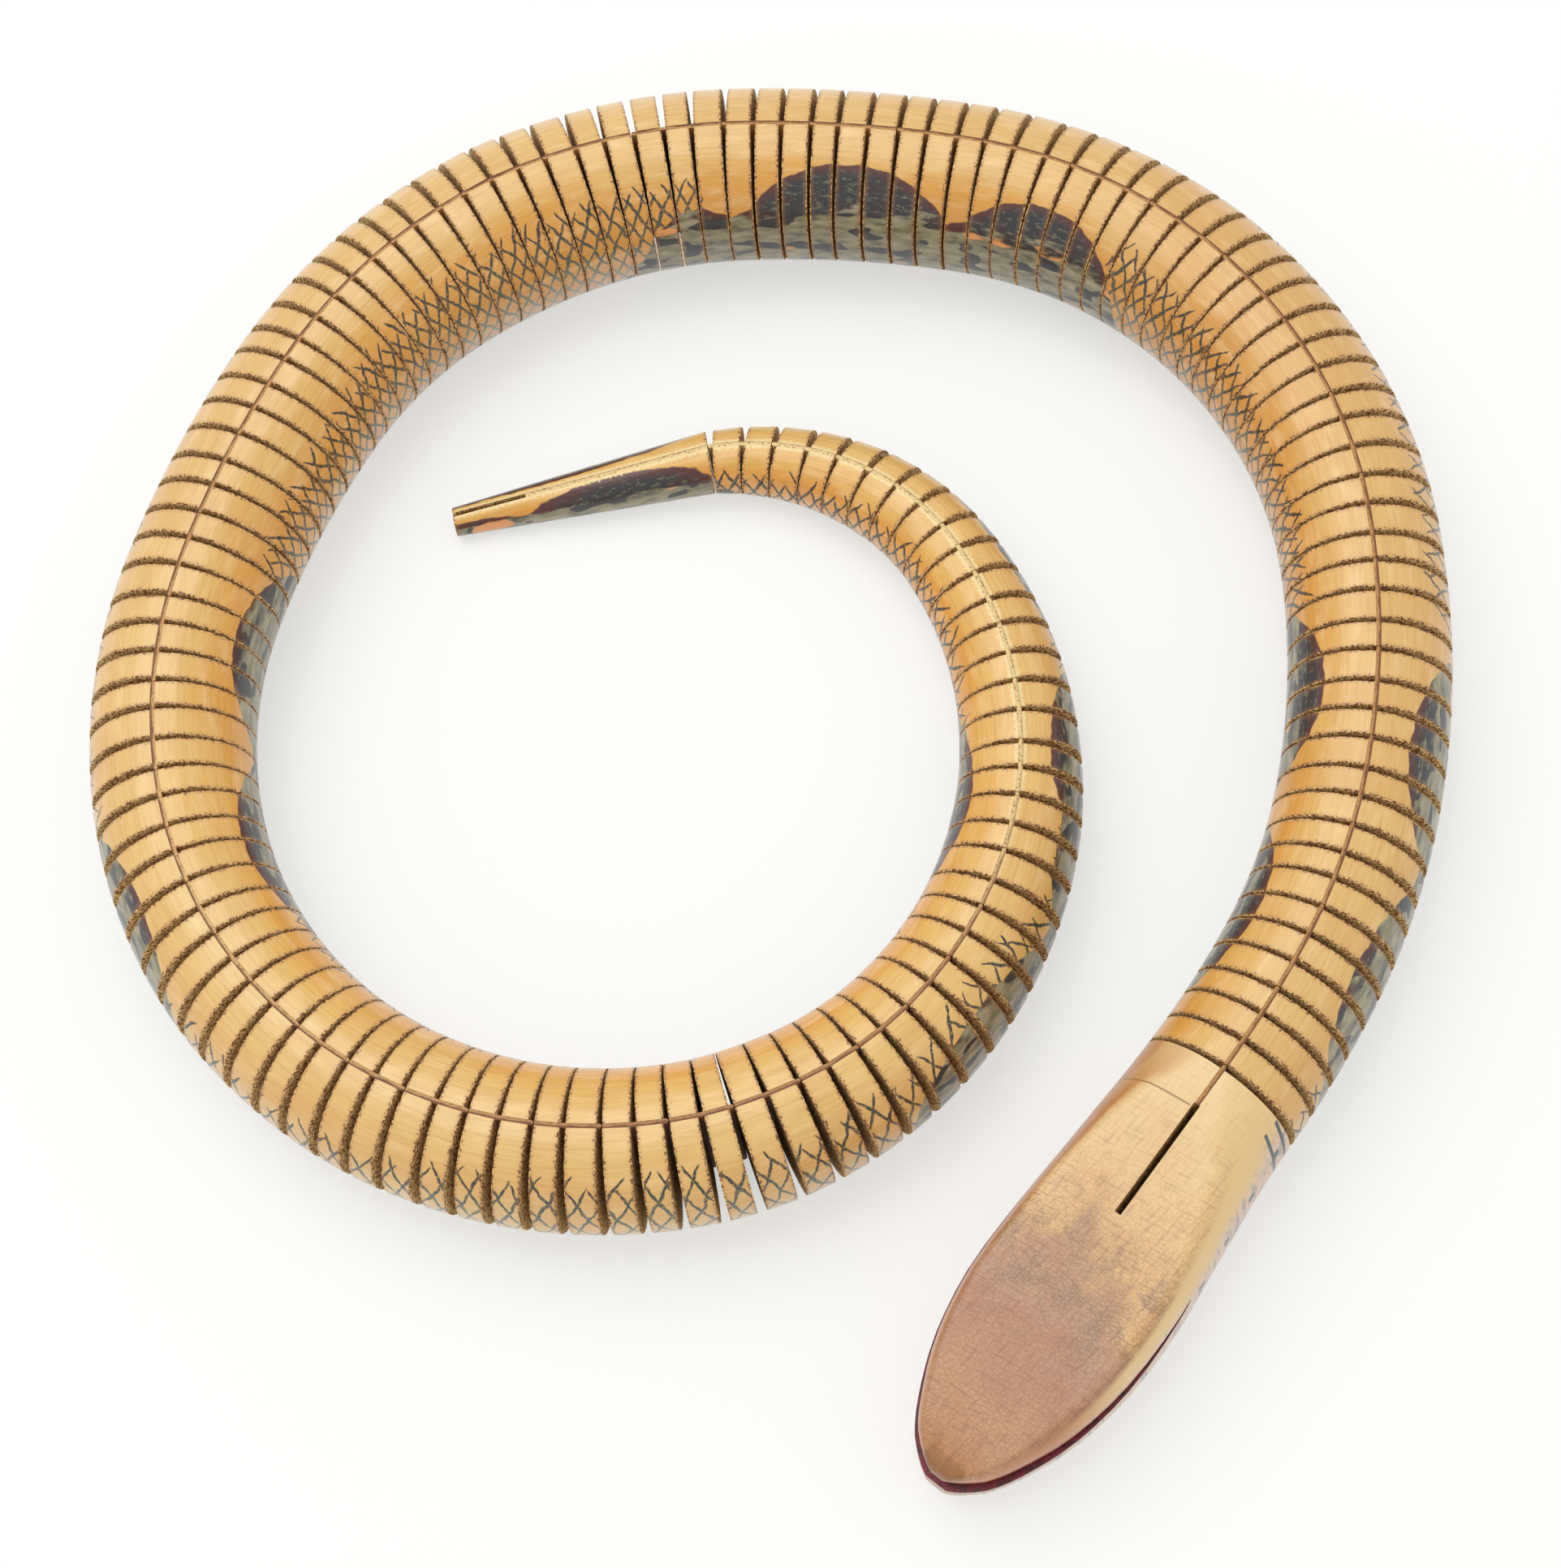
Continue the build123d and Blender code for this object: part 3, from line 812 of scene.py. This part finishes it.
def blotched(add, angle, blotch, colour):
    """Blotches of oil paint: nearly black above with a maroon edge and worn specks, and below
    streaks of olive grey with black islands and bare places."""
    skin = add("UVMap", uv_map="skin")
    lengthwise = add("VectorMath", {0: skin, 1: (0.4, 1, 1)}, operation="MULTIPLY")
    shake = add("TexNoise", {"Vector": skin, "Scale": 1 / 3.5, "Detail": 3.0})
    shake = add("MapRange", {0: shake, 1: 0.0, 2: 1.0, 3: -0.6, 4: 0.6})
    depth = add("Math", {0: blotch, 1: shake}, operation="ADD")
    turn = add("Math", {0: angle}, operation="ABSOLUTE")
    broad = add("TexNoise", {"Vector": lengthwise, "Scale": 1 / 2.6, "Detail": 3.0})
    broad = add("MapRange", {0: broad, 1: 0.0, 2: 1.0, 3: -26.0, 4: 26.0})
    outer = add("MapRange", {0: angle, 1: -1.0, 2: 1.0, 3: 18.0, 4: 0.0})
    for part in (outer, broad):
        turn = add("Math", {0: turn, 1: part}, operation="ADD")
    low = add("MapRange", {0: turn, 1: 60.0, 2: 66.0})

    inputs = {"Vector": lengthwise, "Scale": 1 / 0.8, "Detail": 4.0, "Roughness": 0.7}
    specks = add("TexNoise", inputs)
    worn = add("MapRange", {0: specks, 1: 0.54, 2: 0.63, 4: 0.75})
    red = add("TexNoise", {"Vector": skin, "Scale": 1 / 3.2, "Detail": 2.0})
    red = add("MapRange", {0: red, 1: 0.5, 2: 0.65})
    dark = add("Mix", {0: red, 6: "#26272A", 7: "#371C1A"}, data_type="RGBA")
    dark = add("Mix", {0: worn, 6: dark, 7: "#777558"}, data_type="RGBA")
    rim = add("MapRange", {0: depth, 1: 0.5, 2: 1.9, 3: 0.85, 4: 0.0})
    dark = add("Mix", {0: rim, 6: dark, 7: "#541E18"}, data_type="RGBA")

    streaks = add("TexNoise", {"Vector": lengthwise, "Scale": 1 / 1.6, "Detail": 4.0})
    olives = ((0.32, "#56523F"), (0.46, "#7E785C"), (0.58, "#958C70"), (0.74, "#B0A286"))
    olive = add("ValToRGB", {0: streaks}, stops=olives)
    inputs = {"Vector": lengthwise, "Scale": 1 / 2.9, "Detail": 2.0, "Roughness": 0.3}
    islands = add("TexNoise", inputs)
    islands = add("MapRange", {0: islands, 1: 0.555, 2: 0.575})
    olive = add("Mix", {0: islands, 6: olive, 7: "#2B2B2D"}, data_type="RGBA")
    bare = add("TexNoise", {"Vector": lengthwise, "Scale": 1 / 7.0, "Detail": 1.0})
    bare = add("MapRange", {0: bare, 1: 0.3, 2: 0.315, 3: 1.0, 4: 0.0})
    olive = add("Mix", {0: bare, 6: olive, 7: "#E29A5C"}, data_type="RGBA")
    paint = add("Mix", {0: low, 6: dark, 7: olive}, data_type="RGBA")
    covered = add("MapRange", {0: depth, 1: -0.1, 2: 0.1})
    return add("Mix", {0: covered, 6: colour, 7: paint}, data_type="RGBA")


def varnished_lime():
    """Lime wood turned round, sanded, painted on the flanks and varnished. The varnish went honey
    yellow, deeper down the flanks and worn paler on top, over long faint grain, and shines."""
    made, output, add = new_material("varnished_lime_wood")
    skin = add("UVMap", uv_map="skin")
    place = add("SeparateXYZ", {0: skin})
    along, around = place.outputs[0], place.outputs[1]
    marks = {}
    for name in ("angle", "blotch", "hatch", "tone"):
        marks[name] = add("Attribute", attribute_name=name).outputs["Fac"]

    cloudy = add("VectorMath", {0: skin, 1: (0.3, 1, 1)}, operation="MULTIPLY")
    cloud = add("TexNoise", {"Vector": cloudy, "Scale": 1 / 7.0, "Detail": 4.0})
    shift = add("MapRange", {0: cloud, 1: 0.0, 2: 1.0, 3: -36.0, 4: 36.0})
    turn = add("Math", {0: marks["angle"], 1: shift}, operation="ADD")
    turn = add("MapRange", {0: turn, 1: -120.0, 2: 120.0})
    honeys = (
        (0.0, "#DDC09C"),
        (0.16, "#DEB87E"),
        (0.27, "#DCAC62"),
        (0.40, "#E0BA70"),
        (0.50, "#DDB770"),
        (0.60, "#DEB462"),
        (0.71, "#DFA040"),
        (0.83, "#DCA052"),
        (0.91, "#E2B284"),
        (1.0, "#E2BE9C"),
    )
    colour = add("ValToRGB", {0: turn}, stops=honeys)
    length = add("MapRange", {0: along, 1: 0.0, 2: PATTERN_LENGTH})
    ages = (
        (0.0, "#FBF8F4"),
        (0.12, "#FAF5EC"),
        (0.20, "#F2E6D8"),
        (0.26, "#F9F5F0"),
        (0.50, "#F8F4EE"),
        (0.57, "#FFFFFF"),
        (0.70, "#FFFFFF"),
        (0.82, "#FFFBEE"),
        (1.0, "#FDF4DC"),
    )
    age = add("ValToRGB", {0: length}, stops=ages)
    colour = add("Mix", {0: 1.0, 6: colour, 7: age}, data_type="RGBA", blend_type="MULTIPLY")
    # Lime's pores are too fine to show, so the grain is drawn as streaks half a millimetre wide
    long_way = add("VectorMath", {0: skin, 1: (0.05, 1, 1)}, operation="MULTIPLY")
    grain = add("TexNoise", {"Vector": long_way, "Scale": 1 / 0.5, "Detail": 4.0})
    dark = add("MapRange", {0: grain, 1: 0.45, 2: 0.8, 3: 0.0, 4: 0.42})
    rubbed = add("TexNoise", {"Vector": cloudy, "Scale": 1 / 2.6, "Detail": 5.0, "Roughness": 0.6})
    rubbed = add("MapRange", {0: rubbed, 1: 0.5, 2: 0.72, 3: 0.0, 4: 0.5})
    # Some sawn pieces went a little browner than the rest
    aged = add("MapRange", {0: marks["tone"], 1: 0.05, 2: 0.6, 3: 0.0, 4: 0.3})

    # A few pale splashes beside the seam
    drops = add("TexVoronoi", {"Vector": skin, "Scale": 1 / 5.0})
    size = add("MapRange", {0: drops.outputs["Distance"], 1: 0.1, 2: 0.13, 3: 1.0, 4: 0.0})
    belt = add("Math", {0: around, 1: -3.8, 2: 2.2}, operation="COMPARE")
    here = add("Math", {0: along, 1: 166.0, 2: 27.0}, operation="COMPARE")
    for part in (belt, here):
        size = add("Math", {0: size, 1: part}, operation="MULTIPLY")
    coats = ((dark, "#B27C36"), (rubbed, "#F0CC92"), (aged, "#CE9648"), (size, "#C9C8B2"))
    for share, coat in coats:
        colour = add("Mix", {0: share, 6: colour, 7: coat}, data_type="RGBA")

    colour = hatching(add, along, around, marks["hatch"], colour)
    colour = blotched(add, marks["angle"], marks["blotch"], colour)

    # Browner within a millimetre of the saw cuts, torn wood along them, and lumps of glue beside
    # the rear seam
    near = add("SeparateXYZ", {0: add("UVMap", uv_map="rim")})
    nearest = add("Math", {0: near.outputs[0], 1: near.outputs[1]}, operation="MINIMUM")
    # Darker brown toward each saw cut, fading out within a millimetre of it
    browner_near_cuts = add("MapRange", {0: nearest, 1: 0.1, 2: 0.9, 3: 0.25, 4: 0.0})
    torn = add("TexNoise", {"Vector": skin, "Scale": 1 / 0.5, "Detail": 3.0, "Roughness": 0.6})
    chips = add("Math", {0: torn, 1: -2.6, 2: nearest}, operation="MULTIPLY_ADD")
    chips = add("MapRange", {0: chips, 1: -1.22, 2: -1.1, 3: 0.9, 4: 0.0})
    beside = add("Math", {0: around}, operation="ABSOLUTE")
    lumps = add("Math", {0: torn, 1: -2.0, 2: beside}, operation="MULTIPLY_ADD")
    lumps = add("MapRange", {0: lumps, 1: -0.12, 2: 0.02, 3: 0.9, 4: 0.0})
    rear = add("MapRange", {0: along, 1: 600.0, 2: 640.0})
    lumps = add("Math", {0: lumps, 1: rear}, operation="MULTIPLY")
    for share, coat in ((browner_near_cuts, "#B07A3C"), (chips, "#744422"), (lumps, "#E6CC8E")):
        colour = add("Mix", {0: share, 6: colour, 7: coat}, data_type="RGBA")
    height = add("Math", {0: rubbed, 1: 0.6, 2: grain}, operation="MULTIPLY_ADD")
    gloss = {"Roughness": 0.4, "Coat_Weight": 0.6, "Coat_Roughness": 0.16}
    return finished(made, output, add, colour, height, 0.05, **gloss)


def carved_head():
    """The same wood, planed flat on top with a rasp that left crossed scratches, and varnished.
    It is yellow at the neck, pinkish and dull in front, and rubbed orange at the rim."""
    made, output, add = new_material("carved_lime_wood")
    skin = add("UVMap", uv_map="skin")
    place = add("SeparateXYZ", {0: skin})
    along, across = place.outputs[0], place.outputs[1]
    drop = add("Attribute", attribute_name="drop").outputs["Fac"]
    cloud = add("TexNoise", {"Vector": skin, "Scale": 1 / 9.0, "Detail": 4.0})
    shift = add("MapRange", {0: cloud, 1: 0.0, 2: 1.0, 3: -0.22, 4: 0.22})
    away = add("Math", {0: across, 1: 2.0}, operation="ADD")
    away = add("Math", {0: away}, operation="ABSOLUTE")
    behind = add("Math", {0: away, 1: -0.45, 2: along}, operation="MULTIPLY_ADD")
    spot = add("MapRange", {0: behind, 1: -1.0, 2: HEAD_LENGTH - 1.0})
    spot = add("Math", {0: spot, 1: shift}, operation="ADD")
    browns = (
        (0.0, "#E4C68C"),
        (0.19, "#DEBB80"),
        (0.35, "#DDB47C"),
        (0.43, "#D2A86E"),
        (0.50, "#B68C68"),
        (0.60, "#B48A6C"),
        (0.67, "#AF7C5C"),
        (0.76, "#B4825F"),
        (0.84, "#BD8D65"),
        (0.94, "#B98356"),
        (1.0, "#94602A"),
    )
    colour = add("ValToRGB", {0: spot}, stops=browns)
    # Grey smudges where the yellow gives way to pink
    middle = add("Math", {0: along, 1: 40.0}, operation="SUBTRACT")
    middle = add("Math", {0: middle}, operation="ABSOLUTE")
    middle = add("MapRange", {0: middle, 1: 4.0, 2: 13.0, 3: 1.0, 4: 0.0})
    smudge = add("TexNoise", {"Vector": skin, "Scale": 1 / 5.0, "Detail": 5.0, "Roughness": 0.65})
    smudge = add("MapRange", {0: smudge, 1: 0.47, 2: 0.62, 3: 0.0, 4: 0.6})
    smudge = add("Math", {0: smudge, 1: middle}, operation="MULTIPLY")
    colour = add("Mix", {0: smudge, 6: colour, 7: "#8E7A60"}, data_type="RGBA")
    # Rasp marks both ways, and fine cracks in the varnish, both stronger in front
    dull = add("MapRange", {0: along, 1: 10.0, 2: 38.0, 3: 0.12, 4: 1.0})
    scratched = add("MapRange", {0: along, 1: 4.0, 2: 34.0, 3: 0.1, 4: 0.4})
    for stretch, lean in (((0.12, 1.0, 1.0), 0.1), ((1.0, 0.12, 1.0), -0.12)):
        turned = add("VectorRotate", {"Vector": skin, "Angle": lean}, rotation_type="Z_AXIS")
        combed = add("VectorMath", {0: turned, 1: stretch}, operation="MULTIPLY")
        rasp = add("TexNoise", {"Vector": combed, "Scale": 1 / 0.55, "Detail": 3.0})
        rasp = add("MapRange", {0: rasp, 1: 0.52, 2: 0.68})
        rasp = add("Math", {0: rasp, 1: scratched}, operation="MULTIPLY")
        colour = add("Mix", {0: rasp, 6: colour, 7: "#8C5636"}, data_type="RGBA")
    wide = add("VectorMath", {0: skin, 1: (1.0, 0.6, 1.0)}, operation="MULTIPLY")
    crackle = add("TexVoronoi", {"Vector": wide, "Scale": 1 / 0.6}, feature="DISTANCE_TO_EDGE")
    crackle = add("MapRange", {0: crackle, 1: 0.03, 2: 0.13, 3: 0.5, 4: 0.0})
    patchy = add("MapRange", {0: smudge, 1: 0.0, 2: 0.3, 3: 0.6, 4: 1.0})
    for part in (dull, patchy):
        crackle = add("Math", {0: crackle, 1: part}, operation="MULTIPLY")
    colour = add("Mix", {0: crackle, 6: colour, 7: "#7E4E32"}, data_type="RGBA")

    # The planed top's rim, orange on the right and yellow on the left
    side = add("MapRange", {0: across, 1: -1.0, 2: 1.0})
    yellow = add("MapRange", {0: along, 1: 46.0, 2: 60.0, 3: 1.0, 4: 0.0})
    yellow = add("Math", {0: yellow, 1: side}, operation="MULTIPLY")
    rim = add("Mix", {0: yellow, 6: "#B8702A", 7: "#E6C382"}, data_type="RGBA")
    edge = add("MapRange", {0: drop, 1: 0.3, 2: 1.8, 3: 0.0, 4: 0.9})
    fresh = add("MapRange", {0: along, 1: 2.0, 2: 14.0, 3: 0.4, 4: 1.0})
    edge = add("Math", {0: edge, 1: fresh}, operation="MULTIPLY")
    reach = add("MapRange", {0: along, 1: 4.0, 2: 26.0, 3: 9.0, 4: 12.6})
    band = add("Math", {0: across, 1: reach}, operation="ADD")
    band = add("MapRange", {0: band, 1: 0.0, 2: -2.4, 3: 0.0, 4: 0.85})
    edge = add("Math", {0: edge, 1: band}, operation="MAXIMUM")
    colour = add("Mix", {0: edge, 6: colour, 7: rim}, data_type="RGBA")
    # Thin pinkish grey paint low on the left cheek
    under = add("Math", {0: cloud, 1: 4.0, 2: drop}, operation="MULTIPLY_ADD")
    under = add("MapRange", {0: under, 1: 6.5, 2: 10.0})
    under = add("Math", {0: under, 1: side}, operation="MULTIPLY")
    speckle = add("TexNoise", {"Vector": skin, "Scale": 1 / 1.0, "Detail": 3.0})
    pinks = ((0.36, "#9C948C"), (0.46, "#D2B39E"), (0.66, "#DEC0A8"))
    pink = add("ValToRGB", {0: speckle}, stops=pinks)
    colour = add("Mix", {0: under, 6: colour, 7: pink}, data_type="RGBA")

    # A row of dots on that cheek, and the brush strokes behind them
    row = add("Math", {0: along, 1: 3.8}, operation="PINGPONG")
    row = add("MapRange", {0: row, 1: 2.9, 2: 3.2})
    level = add("Math", {0: drop, 1: 9.0, 2: 0.7}, operation="COMPARE")
    front = add("Math", {0: along, 1: 15.0, 2: 13.0}, operation="COMPARE")
    for part in (level, front, side):
        row = add("Math", {0: row, 1: part}, operation="MULTIPLY")
    lean = add("Math", {0: across, 1: -0.35, 2: along}, operation="MULTIPLY_ADD")
    brush = add("Math", {0: lean, 1: 1.4}, operation="PINGPONG")
    brush = add("MapRange", {0: brush, 1: 0.25, 2: 0.4, 3: 1.0, 4: 0.0})
    flank = add("Math", {0: across, 1: 13.5, 2: 3.0}, operation="COMPARE")
    back = add("Math", {0: along, 1: 2.5, 2: 3.6}, operation="COMPARE")
    for part in (flank, back):
        brush = add("Math", {0: brush, 1: part}, operation="MULTIPLY")
    # Red that ran out of the mouth onto the jaw
    lips = add("Attribute", attribute_name="lips").outputs["Fac"]
    red = add("MapRange", {0: along, 1: MOUTH_START, 2: HEAD_LENGTH, 3: 0.25, 4: 0.4})
    red = add("Math", {0: lips, 1: red}, operation="SUBTRACT")
    red = add("MapRange", {0: red, 1: -0.15, 2: 0.15, 3: 1.0, 4: 0.0})
    shut = add("MapRange", {0: lips, 1: -0.5, 2: -0.3})
    mouth = add("MapRange", {0: along, 1: MOUTH_START, 2: MOUTH_START + 1.0})
    for part in (shut, mouth):
        red = add("Math", {0: red, 1: part}, operation="MULTIPLY")
    # The line where the saw slipped, right of the seam
    slope = add("Math", {0: across, 1: 0.09, 2: along}, operation="MULTIPLY_ADD")
    slip = add("Math", {0: slope, 1: 7.7, 2: 0.16}, operation="COMPARE")
    half = add("Math", {0: across, 1: -7.0, 2: 6.2}, operation="COMPARE")
    slip = add("Math", {0: slip, 1: half}, operation="MULTIPLY")
    for share, coat in ((row, "#4E5A62"), (brush, "#4A5252"), (red, "#64141E"), (slip, "#A0743E")):
        colour = add("Mix", {0: share, 6: colour, 7: coat}, data_type="RGBA")
    gloss = {"Roughness": 0.42, "Coat_Weight": 0.5, "Coat_Roughness": 0.2}
    return finished(made, output, add, colour, crackle, 0.04, **gloss)


def glued_strip():
    """Woven tape soaked in glue and dust. It shows a thin brown join on one side, is wood brown
    in front and yellow with hard glue toward the tail."""
    made, output, add = new_material("glue_soaked_tape")
    skin = add("UVMap", uv_map="skin")
    place = add("SeparateXYZ", {0: skin})
    crumbs = add("TexNoise", {"Vector": skin, "Scale": 1 / 0.5, "Detail": 4.0})
    length = add("MapRange", {0: place.outputs[0], 1: 0.0, 2: PATTERN_LENGTH})
    glues = (
        (0.0, "#B4844A"),
        (0.5, "#B8884E"),
        (0.6, "#D2A86C"),
        (0.72, "#A87848"),
        (0.8, "#AC7C4C"),
        (0.84, "#E4C688"),
        (1.0, "#E8CC90"),
    )
    colour = add("ValToRGB", {0: length}, stops=glues)
    dust = add("MapRange", {0: crumbs, 1: 0.5, 2: 0.68, 3: 0.0, 4: 0.8})
    colour = add("Mix", {0: dust, 6: colour, 7: "#84572E"}, data_type="RGBA")
    sway = add("TexNoise", {"Vector": skin, "Scale": 1 / 3.0, "Detail": 2.0})
    edge = add("MapRange", {0: sway, 1: 0.3, 2: 0.7, 3: -0.25, 4: 0.1})
    join = add("Math", {0: place.outputs[1], 1: edge}, operation="SUBTRACT")
    join = add("MapRange", {0: join, 1: -0.06, 2: 0.06, 3: 0.9, 4: 0.0})
    filled = add("MapRange", {0: length, 1: 0.8, 2: 0.85, 3: 1.0, 4: 0.25})
    join = add("Math", {0: join, 1: filled}, operation="MULTIPLY")
    colour = add("Mix", {0: join, 6: colour, 7: "#6E4020"}, data_type="RGBA")
    return finished(made, output, add, colour, crumbs, 0.1, Roughness=0.6)


def bare(name, pale, dark, scale_mm, rough):
    """A plain surface mottled in two colours, in spots of a size in millimetres."""
    made, output, add = new_material(name)
    spots = add("TexCoord").outputs["Object"]
    fibres = add("TexNoise", {"Vector": spots, "Scale": 1 / (scale_mm * MM), "Detail": 4.0})
    share = add("MapRange", {0: fibres, 1: 0.44, 2: 0.56})
    colour = add("Mix", {0: share, 6: dark, 7: pale}, data_type="RGBA")
    return finished(made, output, add, colour, fibres, 0.1, Roughness=rough)


# Rough end grain in the kerfs: no shine, pale wood and brown dust
SAWN_FACE = bare("sawn_end_grain", "#F0D298", "#8A5E30", 0.45, 0.9)
# Fibres torn at the rims of the kerfs: fuzzy, with dark dirt between
FRAYED_EDGE = bare("frayed_edge", "#E2B674", "#6A3C1E", 0.45, 0.8)
# Enamel brushed into the mouth: dark red, a soft shine
MOUTH_RED = bare("mouth_paint", "#7A1620", "#4E0C14", 1.5, 0.4)
GLUED_STRIP = glued_strip()
WOOD = [varnished_lime(), SAWN_FACE, FRAYED_EDGE]
HEAD_WOOD = [carved_head(), SAWN_FACE, MOUTH_RED]

head()
for number in range(1, len(JOINT_KERFS)):
    body_block(number)
tail()


def camera():
    """The photograph's camera: a short tele lens, half a metre away, looking down and turned."""
    data = bpy.data.cameras.new("camera")
    data.lens = LENS
    data.sensor_width = SENSOR
    seen = placed("camera", data)
    turned = Matrix.Rotation(radians(90 - LOOK_DOWN), 4, "X")
    turned = turned @ Matrix.Rotation(radians(ROLL), 4, "Z")
    back = Vector((0, -cos(radians(LOOK_DOWN)), sin(radians(LOOK_DOWN)))) * DISTANCE
    seen.matrix_world = Matrix.Translation((Vector(AIM) + back) * MM) @ turned
    bpy.context.scene.camera = seen


def floor():
    """A plain near-white floor that keeps a soft shadow."""
    made, output, add = new_material("floor_paper")
    lit = add("BsdfDiffuse", {"Color": "#F7F7F5"})
    glow = add("Emission", {"Color": "#FDFDFB", "Strength": 1.0})
    rays = add("LightPath").outputs
    seen = add("Math", {0: rays["Is Camera Ray"], 1: rays["Is Glossy Ray"]}, operation="MAXIMUM")
    seen = add("Math", {0: seen, 1: rays["Is Transmission Ray"]}, operation="MAXIMUM")
    share = add("Math", {0: seen, 1: FLOOR_GLOW}, operation="MULTIPLY")
    both = add("MixShader", {0: share, 1: lit, 2: glow})
    made.node_tree.links.new(both.outputs[0], output.inputs[0])
    bm = bmesh.new()
    bmesh.ops.create_grid(bm, x_segments=1, y_segments=1, size=FLOOR_SIZE / 2)
    placed("floor", as_mesh("floor", bm, [made]))


def light():
    """A soft light tent: an even pale surround and one wide lamp overhead."""
    world = bpy.data.worlds.new("tent")
    bpy.context.scene.world = world
    world.use_nodes = True
    surround = world.node_tree.nodes["Background"]
    surround.inputs["Color"].default_value = linear("#FFFFFF")
    surround.inputs["Strength"].default_value = TENT
    data = bpy.data.lights.new("overhead", "AREA")
    data.shape = "DISK"
    data.size = LAMP_SIZE
    data.energy = LAMP_POWER
    lamp = placed("overhead", data)
    lamp.location = LAMP_AT
    lamp.rotation_euler = (-Vector(LAMP_AT)).to_track_quat("-Z", "Y").to_euler()


camera()
floor()
light()
bpy.context.scene.view_settings.view_transform = "Standard"
